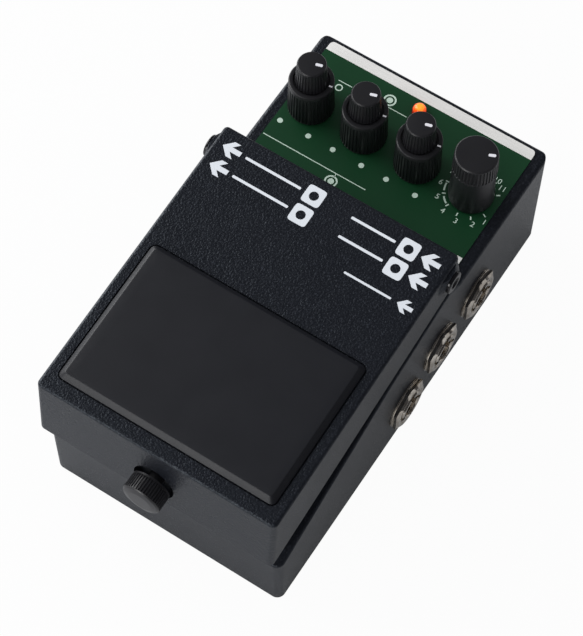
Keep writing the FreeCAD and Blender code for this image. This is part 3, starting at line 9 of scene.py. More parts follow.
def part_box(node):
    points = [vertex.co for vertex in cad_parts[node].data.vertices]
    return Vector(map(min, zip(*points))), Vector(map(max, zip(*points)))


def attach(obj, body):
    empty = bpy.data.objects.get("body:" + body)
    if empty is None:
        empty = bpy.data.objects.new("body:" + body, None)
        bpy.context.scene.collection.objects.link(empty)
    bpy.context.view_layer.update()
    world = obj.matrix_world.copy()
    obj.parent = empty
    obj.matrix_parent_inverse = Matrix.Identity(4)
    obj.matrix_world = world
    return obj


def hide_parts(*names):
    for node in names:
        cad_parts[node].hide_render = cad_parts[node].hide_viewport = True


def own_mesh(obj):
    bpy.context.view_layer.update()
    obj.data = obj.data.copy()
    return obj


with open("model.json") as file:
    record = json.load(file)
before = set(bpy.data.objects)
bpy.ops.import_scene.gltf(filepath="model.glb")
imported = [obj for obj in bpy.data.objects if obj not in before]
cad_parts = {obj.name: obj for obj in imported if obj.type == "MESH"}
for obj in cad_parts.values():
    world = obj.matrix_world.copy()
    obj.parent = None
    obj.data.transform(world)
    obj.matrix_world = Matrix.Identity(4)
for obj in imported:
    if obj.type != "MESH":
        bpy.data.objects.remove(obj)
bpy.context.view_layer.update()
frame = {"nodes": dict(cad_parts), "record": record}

bl_info = {
    "name": "Echo pedal dressing",
    "version": (1, 0, 0),
    "blender": (4, 5, 0),
    "location": "View3D > Sidebar > Echo pedal",
    "description": "Gives a stomp pedal's packed frame its finishes, prints, ribs and small turned parts",
    "category": "Object",
}

MM = 0.001

# Bare lengths are in millimetres, and y is counted from the case's front face; FRONT_Y itself is in metres.
FRONT_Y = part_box("case_front")[0].y
WALL_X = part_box("case_right")[1].x / MM
LABEL_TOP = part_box("control_label")[1].z / MM
KNOB_XS = [sum(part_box("outer_knob_%d" % n)[k].x for k in (0, 1)) / 2 / MM for n in (1, 2, 3)]
MODE_X = sum(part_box("mode_knob")[k].x for k in (0, 1)) / 2 / MM
KNOB_Y = 105.5
THUMBSCREW_Z = 38.0
SEGMENTS_PER_RIB = 10
# side, y and z of each jack
JACKS = ((1, 92.0, 18.5), (1, 73.8, 18.5), (1, 57.9, 13.5), (-1, 92.0, 18.5), (-1, 73.8, 18.5))
# y and z of the hinge
HINGE = (75.4, 52.1)
# y and z of the front and rear ends of the treadle's upper face
TREADLE_FRONT = (-1.45, 51.9)
TREADLE_REAR = (80.3, 57.0)
TREADLE_SLOPE = (TREADLE_REAR[1] - TREADLE_FRONT[1]) / (TREADLE_REAR[0] - TREADLE_FRONT[0])


def treadle_top(y):
    """The height of the treadle's upper face."""
    return TREADLE_FRONT[1] + TREADLE_SLOPE * (y - TREADLE_FRONT[0])


# sizes and colours that a user may change


class CoatSettings(bpy.types.PropertyGroup):
    """The textured paint on the case and the treadle."""

    colour: bpy.props.FloatVectorProperty(
        name="Paint colour", description="Colour of the textured paint", subtype="COLOR", size=3,
        min=0, max=1, default=(0.0085, 0.0096, 0.0135))
    grain: bpy.props.FloatProperty(
        name="Grain", description="Width of one pebble of the paint", default=0.55 * MM,
        min=0.05 * MM, max=3 * MM, precision=5, unit="LENGTH")
    relief: bpy.props.FloatProperty(
        name="Relief", description="Height of the pebbles", default=0.12 * MM, min=0, max=MM,
        precision=6, unit="LENGTH")
    roughness: bpy.props.FloatProperty(
        name="Roughness", description="How dull the paint is", default=0.34, min=0, max=1, subtype="FACTOR")


class KnobSettings(bpy.types.PropertyGroup):
    """The ribbed knobs and the thumbscrew."""

    outer_ribs: bpy.props.IntProperty(
        name="Outer ribs", description="Ribs round each lower knob", default=40, min=6, max=120)
    inner_ribs: bpy.props.IntProperty(
        name="Inner ribs", description="Ribs round each upper knob", default=30, min=6, max=120)
    thumb_ribs: bpy.props.IntProperty(
        name="Thumbscrew ribs", description="Ribs round the thumbscrew", default=44, min=6, max=120)
    rib_depth: bpy.props.FloatProperty(
        name="Rib depth", description="Depth of the grooves between ribs", default=0.27 * MM,
        min=0, max=2 * MM, precision=5, unit="LENGTH")
    mark_length: bpy.props.FloatProperty(
        name="Mark length", description="Length of the white pointer mark", default=1.9 * MM,
        min=0, max=5 * MM, precision=5, unit="LENGTH")
    mark_width: bpy.props.FloatProperty(
        name="Mark width", description="Width of the white pointer mark", default=0.75 * MM,
        min=0, max=3 * MM, precision=5, unit="LENGTH")


class PrintSettings(bpy.types.PropertyGroup):
    """The printed lines, dots, ticks and numbers."""

    height: bpy.props.FloatProperty(
        name="Ink height", description="How far the ink stands up", default=0.03 * MM, min=0.005 * MM,
        max=0.5 * MM, precision=6, unit="LENGTH")
    dot_radius: bpy.props.FloatProperty(
        name="Dot radius", description="Radius of the dots beside the knobs", default=0.75 * MM,
        min=0.1 * MM, max=3 * MM, precision=5, unit="LENGTH")
    number_size: bpy.props.FloatProperty(
        name="Number size", description="Height of a line of dial numbers", default=2.2 * MM,
        min=0.5 * MM, max=8 * MM, precision=5, unit="LENGTH")
    positions: bpy.props.IntProperty(
        name="Dial positions", description="Numbered positions of the mode knob", default=11, min=2, max=12)
    label_colour: bpy.props.FloatVectorProperty(
        name="Label colour", description="Ground colour of the control label", subtype="COLOR", size=3,
        min=0, max=1, default=(0.0055, 0.052, 0.0185))
    label_ink: bpy.props.FloatVectorProperty(
        name="Label ink", description="Colour of the print on the label", subtype="COLOR", size=3,
        min=0, max=1, default=(0.60, 0.76, 0.66))
    treadle_ink: bpy.props.FloatVectorProperty(
        name="Treadle ink", description="Colour of the print on the treadle", subtype="COLOR", size=3,
        min=0, max=1, default=(0.73, 0.77, 0.83))


class StageSettings(bpy.types.PropertyGroup):
    """The camera, the lamps and the floor."""

    lens: bpy.props.FloatProperty(
        name="Lens", description="Focal length in millimetres", default=132.64, min=10, max=400)
    key_power: bpy.props.FloatProperty(
        name="Key power", description="Power of the large soft lamp in watts", default=3.2, min=0, max=50)
    fill_power: bpy.props.FloatProperty(
        name="Fill power", description="Power of the second soft lamp in watts", default=1.8, min=0, max=50)
    rim_power: bpy.props.FloatProperty(
        name="Rim power", description="Power of the low lamp behind the left side in watts", default=1.8,
        min=0, max=50)
    sky: bpy.props.FloatProperty(
        name="Sky", description="Strength of the even light from all round", default=0.60, min=0, max=2)


# node trees


class Wire:
    """A node's output socket that Python's operators extend with Math nodes."""

    def __init__(self, tree, socket):
        self.tree = tree
        self.socket = socket

    def math(self, operation, *values):
        return add_node(self.tree, "ShaderNodeMath", {"operation": operation}, dict(enumerate(values)))

    def __add__(self, other):
        return self.math("ADD", self, other)

    __radd__ = __add__

    def __sub__(self, other):
        return self.math("SUBTRACT", self, other)

    def __rsub__(self, other):
        return self.math("SUBTRACT", other, self)

    def __mul__(self, other):
        return self.math("MULTIPLY", self, other)

    __rmul__ = __mul__

    def __truediv__(self, other):
        return self.math("DIVIDE", self, other)

    def __rtruediv__(self, other):
        return self.math("DIVIDE", other, self)

    def smooth_step(self, low, high):
        """0 below one value and 1 above the other, with a soft change between."""
        return add_node(self.tree, "ShaderNodeMapRange", {"interpolation_type": "SMOOTHSTEP"},
                        {"Value": self, "From Min": low, "From Max": high})


def add_node(tree, kind, settings=None, values=None, output=0):
    """Adds a node: its settings come first, then its sockets' values or links."""
    node = tree.nodes.new(kind)
    for key, value in (settings or {}).items():
        setattr(node, key, value)
    for key, value in (values or {}).items():
        if isinstance(key, int):
            socket = node.inputs[key]
        else:
            socket = next(s for s in node.inputs if key in (s.identifier, s.name) and s.enabled)
        if isinstance(value, Wire):
            tree.links.new(value.socket, socket)
        else:
            socket.default_value = value
    return Wire(tree, node.outputs[output])


def mixed(tree, factor, first, second):
    """A colour between two colours."""
    return add_node(tree, "ShaderNodeMix", {"data_type": "RGBA"}, {0: factor, 6: first, 7: second}, 2)


def rgba(colour):
    return (*colour, 1)


def toned(colour, share):
    """A colour made darker or lighter by a share."""
    return rgba([min(1, c * share) for c in colour])


def surface(name, colour, roughness, metallic=0.0):
    """A new material with one Principled surface, its tree, the shader node and its coordinates."""
    material = bpy.data.materials.new(name)
    material.use_nodes = True
    tree = material.node_tree
    shader = tree.nodes["Principled BSDF"]
    shader.inputs["Base Color"].default_value = rgba(colour)
    shader.inputs["Roughness"].default_value = roughness
    shader.inputs["Metallic"].default_value = metallic
    where = add_node(tree, "ShaderNodeTexCoord", output=3)
    return material, tree, shader, where


def noise(tree, where, size, detail):
    """Smooth noise whose features are about as wide as a length."""
    return add_node(tree, "ShaderNodeTexNoise", None, {"Vector": where, "Scale": 1 / size, "Detail": detail})


def pebbles(tree, where, size, smoothness=0.6):
    """Rounded cells about as wide as a length."""
    return add_node(tree, "ShaderNodeTexVoronoi", {"feature": "SMOOTH_F1"},
                    {"Vector": where, "Scale": 1 / size, "Smoothness": smoothness})


def bump(tree, shader, height, distance):
    """Relief of a height from 0 to 1 that stands up by a distance."""
    normal = add_node(tree, "ShaderNodeBump", None, {"Height": height, "Distance": distance, "Strength": 1.0})
    tree.links.new(normal.socket, shader.inputs["Normal"])


def feed(tree, shader, socket, wire):
    """Links a varying value to a socket of the shader."""
    tree.links.new(wire.socket, shader.inputs[socket])


def mottled(name, colour, roughness, grain, relief, spread=0.12, tint=0.12):
    """A finish with fine relief, uneven roughness and slight changes of tone."""
    material, tree, shader, where = surface(name, colour, roughness)
    fine = noise(tree, where, grain, 3)
    wide = noise(tree, where, 9 * MM, 2)
    feed(tree, shader, "Roughness", roughness + (wide - 0.5) * spread + (fine - 0.5) * spread)
    feed(tree, shader, "Base Color", mixed(tree, wide, toned(colour, 1 - tint), toned(colour, 1 + tint)))
    bump(tree, shader, fine, relief)
    return material


def textured_paint(name, settings):
    """Powder paint with closely set pebbles and brighter flecks where they crest, painted in as glints of light.
    """
    colour = tuple(settings.colour)
    material, tree, shader, where = surface(name, colour, settings.roughness)
    shader.inputs["Specular Tint"].default_value = (0.80, 0.90, 1.0, 1)
    shader.inputs["Specular IOR Level"].default_value = 0.36
    cells = pebbles(tree, where, settings.grain)
    fine = noise(tree, where, settings.grain * 0.7, 2)
    wide = noise(tree, where, 12 * MM, 2)
    height = (1 - cells) * 0.8 + fine * 0.9
    feed(tree, shader, "Roughness", settings.roughness + (fine - 0.5) * 0.35 + (wide - 0.5) * 0.06)
    # painted highlight: the crests get a brighter base colour that stands in for glints on the grain
    crest = fine.smooth_step(0.54, 0.70) * 0.6
    tone = mixed(tree, wide, toned(colour, 0.9), toned(colour, 1.1))
    feed(tree, shader, "Base Color", mixed(tree, crest, tone, toned(colour, 3.2)))
    bump(tree, shader, height, settings.relief)
    return material


def brushed(name, colour, roughness, metallic, grain, relief, along):
    """Metal with fine lines that run along one axis."""
    material, tree, shader, where = surface(name, colour, roughness, metallic)
    stretch = [1.0, 1.0, 1.0]
    stretch[along] = 0.06
    lines = add_node(tree, "ShaderNodeMapping", None, {"Vector": where, "Scale": stretch})
    fine = noise(tree, lines, grain, 3)
    wide = noise(tree, where, 4 * MM, 2)
    feed(tree, shader, "Roughness", roughness + (fine - 0.5) * 0.2 + (wide - 0.5) * 0.1)
    feed(tree, shader, "Base Color", mixed(tree, fine, toned(colour, 0.82), rgba(colour)))
    bump(tree, shader, fine, relief)
    return material


def geometry_tree(name, sizes):
    """A Geometry Nodes group with a geometry input, named sizes and a finish."""
    tree = bpy.data.node_groups.new(name, "GeometryNodeTree")
    tree.interface.new_socket("Geometry", in_out="INPUT", socket_type="NodeSocketGeometry")
    for label, kind in sizes:
        tree.interface.new_socket(label, in_out="INPUT", socket_type="NodeSocket" + kind)
    tree.interface.new_socket("Finish", in_out="INPUT", socket_type="NodeSocketMaterial")
    tree.interface.new_socket("Geometry", in_out="OUTPUT", socket_type="NodeSocketGeometry")
    source = tree.nodes.new("NodeGroupInput")
    return tree, {s.name: Wire(tree, s) for s in source.outputs if s.name}


def close_tree(tree, geometry, finish):
    """Ends a tree in Realize Instances and Set Material."""
    real = add_node(tree, "GeometryNodeRealizeInstances", None, {"Geometry": geometry})
    done = add_node(tree, "GeometryNodeSetMaterial", None, {"Geometry": real, "Material": finish})
    sink = tree.nodes.new("NodeGroupOutput")
    tree.links.new(done.socket, sink.inputs[0])
    return tree


def angle_round_z(tree):
    """The place of a point as (x, y, angle about Z, distance from Z)."""
    place = add_node(tree, "GeometryNodeInputPosition")
    parts = add_node(tree, "ShaderNodeSeparateXYZ", None, {0: place})
    x, y = (Wire(tree, parts.socket.node.outputs[k]) for k in (0, 1))
    return x, y, y.math("ARCTAN2", y, x), (x * x + y * y).math("SQRT", x * x + y * y)


def rib_tree():
    """Sinks even grooves into the part of a turned mesh that its rib attribute marks."""
    tree, given = geometry_tree("Ribbed side", (("Rib Count", "Int"), ("Rib Depth", "Float")))
    x, y, angle, _ = angle_round_z(tree)
    wave = angle.math("COSINE", angle * given["Rib Count"])
    groove = 1 - wave.smooth_step(-0.85, 0.35)
    marked = add_node(tree, "GeometryNodeInputNamedAttribute", {"data_type": "FLOAT"}, {"Name": "rib"})
    flat = add_node(tree, "ShaderNodeCombineXYZ", None, {"X": x, "Y": y})
    outward = add_node(tree, "ShaderNodeVectorMath", {"operation": "NORMALIZE"}, {0: flat})
    sunk = groove * marked * given["Rib Depth"] * -1
    offset = add_node(tree, "ShaderNodeVectorMath", {"operation": "SCALE"}, {0: outward, "Scale": sunk})
    moved = add_node(tree, "GeometryNodeSetPosition", None, {"Geometry": given["Geometry"], "Offset": offset})
    return close_tree(tree, moved, given["Finish"])


def hexagon_tree():
    """Cuts six flats on a turned blank."""
    tree, given = geometry_tree("Six flats", (("Across Flats", "Float"),))
    x, y, angle, radius = angle_round_z(tree)
    sector = math.pi / 3
    turned_to_flat = angle.math("FLOORED_MODULO", angle + 4 * math.pi, sector) - sector / 2
    reach = given["Across Flats"] / 2 / turned_to_flat.math("COSINE", turned_to_flat)
    share = reach.math("MINIMUM", reach / radius, 1.0)
    height = add_node(tree, "ShaderNodeSeparateXYZ", None, {0: add_node(tree, "GeometryNodeInputPosition")}, 2)
    place = add_node(tree, "ShaderNodeCombineXYZ", None, {"X": x * share, "Y": y * share, "Z": height})
    moved = add_node(tree, "GeometryNodeSetPosition", None, {
        "Geometry": given["Geometry"], "Position": place})
    return close_tree(tree, moved, given["Finish"])


def tick_tree():
    """Sets short bars on an arc, pointing outwards."""
    tree, given = geometry_tree("Dial ticks", (
        ("Count", "Int"), ("Radius", "Float"), ("Length", "Float"), ("Width", "Float"), ("Height", "Float"),
        ("First Angle", "Float"), ("Step Angle", "Float")))
    index = add_node(tree, "GeometryNodeInputIndex")
    angle = given["First Angle"] + index * given["Step Angle"]
    place = add_node(tree, "ShaderNodeCombineXYZ", None, {
        "X": angle.math("COSINE", angle) * given["Radius"], "Y": angle.math("SINE", angle) * given["Radius"]})
    points = add_node(tree, "GeometryNodePoints", None, {"Count": given["Count"], "Position": place})
    size = add_node(tree, "ShaderNodeCombineXYZ", None, {
        "X": given["Length"], "Y": given["Width"], "Z": given["Height"]})
    bar = add_node(tree, "GeometryNodeMeshCube", None, {"Size": size})
    turn = add_node(tree, "ShaderNodeCombineXYZ", None, {"Z": angle})
    turned_by = add_node(tree, "FunctionNodeEulerToRotation", None, {0: turn})
    bars = add_node(tree, "GeometryNodeInstanceOnPoints", None, {
        "Points": points, "Instance": bar, "Rotation": turned_by})
    return close_tree(tree, bars, given["Finish"])


def dot_tree():
    """Sets pairs of round dots in a row, one pair for each knob."""
    tree, given = geometry_tree("Dot pairs", (
        ("Pairs", "Int"), ("Pitch", "Float"), ("Spread", "Float"), ("Dot Radius", "Float"),
        ("Height", "Float")))
    index = add_node(tree, "GeometryNodeInputIndex")
    side = index.math("FLOORED_MODULO", index, 2.0) * 2 - 1
    row = index.math("FLOOR", index / 2)
    place = add_node(tree, "ShaderNodeCombineXYZ", None, {"X": row * given["Pitch"] + side * given["Spread"]})
    points = add_node(tree, "GeometryNodePoints", None, {"Count": given["Pairs"] * 2, "Position": place})
    dot = add_node(tree, "GeometryNodeMeshCylinder", {"fill_type": "NGON"}, {
        "Vertices": 32, "Radius": given["Dot Radius"], "Depth": given["Height"]})
    dots = add_node(tree, "GeometryNodeInstanceOnPoints", None, {"Points": points, "Instance": dot})
    return close_tree(tree, dots, given["Finish"])


# meshes


def rounded(points, closed=False, steps=4):
    """A polyline with rounded corners, from (x, y, radius) points."""
    path = []
    for n, (x, y, radius) in enumerate(points):
        here = Vector((x, y))
        if radius <= 0 or (not closed and n in (0, len(points) - 1)):
            path.append(here)
            continue
        back = Vector(points[n - 1][:2]) - here
        ahead = Vector(points[(n + 1) % len(points)][:2]) - here
        reach = min(radius / math.tan(back.angle(ahead) / 2), back.length * 0.49, ahead.length * 0.49)
        start = here + back.normalized() * reach
        end = here + ahead.normalized() * reach
        for k in range(steps + 1):
            t = k / steps
            path.append(start * (1 - t) ** 2 + here * (2 * t * (1 - t)) + end * t ** 2)
    return path


def ring_mesh(name, rings, closed=False):
    """A mesh skinned over rings of points; a ring of one point closes an end."""
    made = bmesh.new()
    levels = [[made.verts.new(p) for p in ring] for ring in rings]
    pairs = list(zip(levels, levels[1:]))
    if closed:
        pairs.append((levels[-1], levels[0]))
    for low, high in pairs:
        count = max(len(low), len(high))
        for n in range(count):
            m = (n + 1) % count
            corners = [low[n % len(low)], low[m % len(low)], high[m % len(high)], high[n % len(high)]]
            unique = list(dict.fromkeys(corners))
            made.faces.new(unique)
    bmesh.ops.recalc_face_normals(made, faces=made.faces)
    mesh = bpy.data.meshes.new(name)
    made.to_mesh(mesh)
    made.free()
    return mesh


def turned(name, profile, segments, closed=False, ribbed=None):
    """A mesh turned about Z from (radius, height) points; ribbed gives the part that is marked for ribs."""
    turn = [2 * math.pi * n / segments for n in range(segments)]
    rings = []
    for radius, height in profile:
        if radius < 1e-6:
            rings.append([Vector((0, 0, height * MM))])
            continue
        reach = radius * MM
        rings.append([Vector((reach * math.cos(a), reach * math.sin(a), height * MM)) for a in turn])
    mesh = ring_mesh(name, rings, closed)
    if ribbed:
        low, high, least = ribbed
        marks = mesh.attributes.new("rib", "FLOAT", "POINT")
        for vertex, mark in zip(mesh.vertices, marks.data):
            z = vertex.co.z / MM
            side = math.hypot(vertex.co.x, vertex.co.y) / MM > least
            mark.value = 1.0 if side and low <= z <= high else 0.0
    return mesh


def plate(name, outlines, height):
    """Thin prints: each closed outline of (x, y) points becomes a plate that starts at z = 0."""
    made = bmesh.new()
    for outline in outlines:
        low = [made.verts.new((x * MM, y * MM, 0)) for x, y in outline]
        high = [made.verts.new((x * MM, y * MM, height)) for x, y in outline]
        made.faces.new(low)
        made.faces.new(list(reversed(high)))
        for n in range(len(outline)):
            m = (n + 1) % len(outline)
            made.faces.new([low[n], high[n], high[m], low[m]])
    bmesh.ops.recalc_face_normals(made, faces=made.faces)
    bmesh.ops.triangulate(made, faces=[f for f in made.faces if len(f.verts) > 4])
    mesh = bpy.data.meshes.new(name)
    made.to_mesh(mesh)
    made.free()
    return mesh


def box_outline(x0, x1, y0, y1, radius=0.0, steps=4):
    """The outline of a box whose corners are rounded."""
    corners = [(x0, y0, radius), (x1, y0, radius), (x1, y1, radius), (x0, y1, radius)]
    return [tuple(p) for p in rounded(corners, True, steps)]


def framed_plate(name, outer, inner, height):
    """A thin plate with a hole: both outlines have the same number of points."""
    rings = [[Vector((x * MM, y * MM, z)) for x, y in outline]
             for outline, z in ((outer, 0), (outer, height), (inner, height), (inner, 0))]
    return ring_mesh(name, rings, closed=True)


def joined(name, meshes):
    """One mesh from several."""
    made = bmesh.new()
    for mesh in meshes:
        made.from_mesh(mesh)
    total = bpy.data.meshes.new(name)
    for material in meshes[0].materials:
        total.materials.append(material)
    made.to_mesh(total)
    made.free()
    return total


def circle(x, y, radius, count=40):
    """Points evenly round a circle."""
    turn = [2 * math.pi * n / count for n in range(count)]
    return [(x + radius * math.cos(a), y + radius * math.sin(a)) for a in turn]


def placed(mesh, matrix):
    """A mesh after it is moved."""
    mesh.transform(matrix)
    if matrix.to_3x3().determinant() < 0:
        mesh.flip_normals()
    return mesh


def at(x, y, z):
    """A place given in millimetres from the case's front face."""
    return Matrix.Translation((x * MM, y * MM + FRONT_Y, z * MM))


def from_front(mesh):
    """Moves a mesh whose y is counted from the case's front face into the frame."""
    return placed(mesh, Matrix.Translation((0, FRONT_Y, 0)))


def piece(name, mesh, body, material=None, replaced=(), sharp=35.0):
    """Puts a finished mesh into the scene as a piece that rides on a body."""
    if material:
        mesh.materials.clear()
        mesh.materials.append(material)
    mesh.shade_smooth()
    mesh.set_sharp_from_angle(angle=math.radians(sharp))
    thing = bpy.data.objects.new(name, mesh)
    bpy.context.scene.collection.objects.link(thing)
    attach(thing, body)
    if replaced:
        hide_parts(*replaced)
    return thing


def through_tree(mesh, tree, sizes, material):
    """The plain mesh that a Geometry Nodes tree makes of a mesh."""
    thing = bpy.data.objects.new("work", mesh)
    bpy.context.scene.collection.objects.link(thing)
    modifier = thing.modifiers.new("tree", "NODES")
    modifier.node_group = tree
    given = {s.name: s.identifier for s in tree.interface.items_tree if s.in_out == "INPUT"}
    for label, value in sizes.items():
        modifier[given[label]] = value
    modifier[given["Finish"]] = material
    return settled(thing)


def settled(thing):
    """The plain mesh of an object with its modifiers, which is then removed."""
    bpy.context.view_layer.update()
    graph = bpy.context.evaluated_depsgraph_get()
    mesh = bpy.data.meshes.new_from_object(thing.evaluated_get(graph))
    bpy.data.objects.remove(thing)
    return mesh


def need(name):
    """A finish that the finishes operator has made."""
    material = bpy.data.materials.get(name)
    if material is None:
        raise RuntimeError("make the finishes first: %s is missing" % name)
    return material


def tree_named(name, maker):
    """A node group, made when it is first needed."""
    return bpy.data.node_groups.get(name) or maker()


def ribbed_piece(node, profile, closed, marked, count, depth, body, *moves):
    """Turns a profile, ribs its marked side and puts it in the place of a node."""
    mesh = turned(node, profile, count * SEGMENTS_PER_RIB, closed, marked)
    mesh = through_tree(mesh, tree_named("Ribbed side", rib_tree), {"Rib Count": count, "Rib Depth": depth},
                        need("Black moulding"))
    for move in moves:
        placed(mesh, move)
    piece(node + "_ribbed", mesh, body, None, (node,))


# operators


class PEDAL_OT_finishes(bpy.types.Operator):
    """Makes every finish and paints the frame's nodes with them"""

    bl_idname = "pedal.finishes"
    bl_label = "Finishes"

    def execute(self, context):
        scene = context.scene
        prints = scene.pedal_print
        finishes = {
            "dark_coat": textured_paint("Dark textured paint", scene.pedal_coat),
            "pad_rubber": mottled("Pad rubber", (0.0070, 0.0080, 0.0125), 0.46, 0.16 * MM, 0.006 * MM, 0.08),
            "steel": brushed("Bright steel", (0.56, 0.57, 0.59), 0.3, 1.0, 0.25 * MM, 0.004 * MM, 0),
            "pin_black": mottled("Black pin", (0.006, 0.006, 0.0075), 0.11, 0.5 * MM, 0.002 * MM, 0.06),
            "black_plastic": mottled("Black moulding", (0.013, 0.013, 0.0155), 0.36, 0.2 * MM, 0.006 * MM,
                                     0.14),
            "white_plastic": mottled("White moulding", (0.74, 0.74, 0.72), 0.4, 0.3 * MM, 0.006 * MM, 0.1,
                                     0.03),
            "green_label": label_finish("Green label", prints.label_colour),
            "nickel": nickel_finish("Nickel plate"),
            "lamp_orange": lamp_finish("Lamp lens"),
            "board_green": board_finish("Circuit board"),
            "chip_black": mottled("Chip case", (0.016, 0.016, 0.017), 0.55, 0.15 * MM, 0.008 * MM, 0.1),
            "battery_skin": battery_finish("Battery skin"),
            "lead_red": mottled("Red lead", (0.42, 0.012, 0.01), 0.35, 0.3 * MM, 0.006 * MM),
            "lead_black": mottled("Black lead", (0.012, 0.012, 0.012), 0.35, 0.3 * MM, 0.006 * MM),
            "foam": foam_finish("Grey foam"),
        }
        mottled("Label ink", tuple(prints.label_ink), 0.5, 0.12 * MM, 0.004 * MM, 0.1, 0.05)
        mottled("Treadle ink", tuple(prints.treadle_ink), 0.5, 0.12 * MM, 0.01 * MM, 0.1, 0.05)
        mottled("Mark white", (0.78, 0.78, 0.84), 0.4, 0.2 * MM, 0.004 * MM, 0.1, 0.04)
        brushed("Silver strip", (0.90, 0.895, 0.88), 0.46, 0.0, 0.4 * MM, 0.002 * MM, 0)
        slots = {m["slot"] for m in frame["record"]["materials"]}
        missing = slots - set(finishes)
        if missing:
            raise RuntimeError("no finish for the slots %s" % sorted(missing))
        for name, node in frame["nodes"].items():
            node.data.materials.clear()
            node.data.materials.append(finishes[node_slot(name)])
        return {"FINISHED"}


def node_slot(name):
    """The slot that the record gives to a node."""
    return next(part["material_slot"] for part in frame["record"]["subparts"] if part["node"] == name)


def label_finish(name, colour):
    """Satin film: an even ground with a faint lengthwise drift of tone."""
    material, tree, shader, where = surface(name, colour, 0.34)
    wide = noise(tree, where, 22 * MM, 1)
    fine = noise(tree, where, 0.3 * MM, 2)
    feed(tree, shader, "Base Color", mixed(tree, wide, toned(colour, 0.88), toned(colour, 1.12)))
    feed(tree, shader, "Roughness", 0.34 + (fine - 0.5) * 0.12)
    bump(tree, shader, fine, 0.003 * MM)
    return material


def nickel_finish(name):
    """Warm bright plate with uneven polish."""
    colour = (0.74, 0.69, 0.62)
    material, tree, shader, where = surface(name, colour, 0.12, 1.0)
    fine = noise(tree, where, 0.5 * MM, 3)
    wide = noise(tree, where, 3 * MM, 2)
    feed(tree, shader, "Roughness", 0.10 + wide * 0.08 + (fine - 0.5) * 0.06)
    patches = wide.smooth_step(0.35, 0.7)
    feed(tree, shader, "Base Color", mixed(tree, patches, rgba((0.50, 0.45, 0.39)), rgba(colour)))
    bump(tree, shader, fine, 0.004 * MM)
    return material


def lamp_finish(name):
    """A lit lens glowing orange red, with a painted yellow highlight at its crown and painted deep red shade
    towards its rim.
    """
    material, tree, shader, where = surface(name, (0.30, 0.02, 0.005), 0.16)
    height = add_node(tree, "ShaderNodeSeparateXYZ", None, {0: where}, 2)
    cloud = noise(tree, where, 0.9 * MM, 2)
    level = height + (cloud - 0.5) * (0.9 * MM)
    # painted light: the yellow crown colour is a painted highlight on the top of the lens, and the deep red rim
    # colour is painted shade low on it
    rim, round_it, painted_crown_highlight = rgba((0.22, 0.005, 0.0)), rgba((0.90, 0.085, 0.008)), rgba((1.0, 0.44, 0.045))
    body = mixed(tree, level.smooth_step(40.4 * MM, 41.6 * MM), rim, round_it)
    glow = mixed(tree, level.smooth_step(41.55 * MM, 42.25 * MM), body, painted_crown_highlight)
    feed(tree, shader, "Emission Color", glow)
    shader.inputs["Emission Strength"].default_value = 1.0
    return material


def board_finish(name):
    """Solder mask over faint traces."""
    material, tree, shader, where = surface(name, (0.02, 0.13, 0.05), 0.35)
    trace = add_node(tree, "ShaderNodeTexBrick", None, {
        "Vector": where, "Scale": 260.0, "Mortar Size": 0.04, "Color1": rgba((0.015, 0.11, 0.045)),
        "Color2": rgba((0.02, 0.135, 0.055)), "Mortar": rgba((0.05, 0.22, 0.09))})
    feed(tree, shader, "Base Color", trace)
    fine = noise(tree, where, 0.5 * MM, 2)
    feed(tree, shader, "Roughness", 0.3 + fine * 0.12)
    bump(tree, shader, fine, 0.01 * MM)
    return material


def battery_finish(name):
    """A plain battery jacket: a copper coloured band at the terminal end and dark elsewhere."""
    dark, copper = (0.02, 0.02, 0.022), (0.62, 0.32, 0.14)
    material, tree, shader, where = surface(name, dark, 0.3, 0.6)
    along = add_node(tree, "ShaderNodeSeparateXYZ", None, {0: where}, 0)
    band = along.smooth_step(7.9 * MM, 8.1 * MM)
    feed(tree, shader, "Base Color", mixed(tree, band, rgba(dark), rgba(copper)))
    fine = noise(tree, where, 0.4 * MM, 2)
    feed(tree, shader, "Roughness", 0.25 + fine * 0.12)
    bump(tree, shader, fine, 0.004 * MM)
    return material


def foam_finish(name):
    """Open-celled foam, with painted shade in its pores."""
    material, tree, shader, where = surface(name, (0.09, 0.09, 0.095), 0.9)
    cells = pebbles(tree, where, 0.7 * MM, 0.2)
    # painted shade: the sunken pores get a darker colour than the cell walls
    pore_shade, wall = rgba((0.035, 0.035, 0.038)), rgba((0.12, 0.12, 0.125))
    feed(tree, shader, "Base Color", mixed(tree, cells, pore_shade, wall))
    bump(tree, shader, cells, 0.25 * MM)
    return material


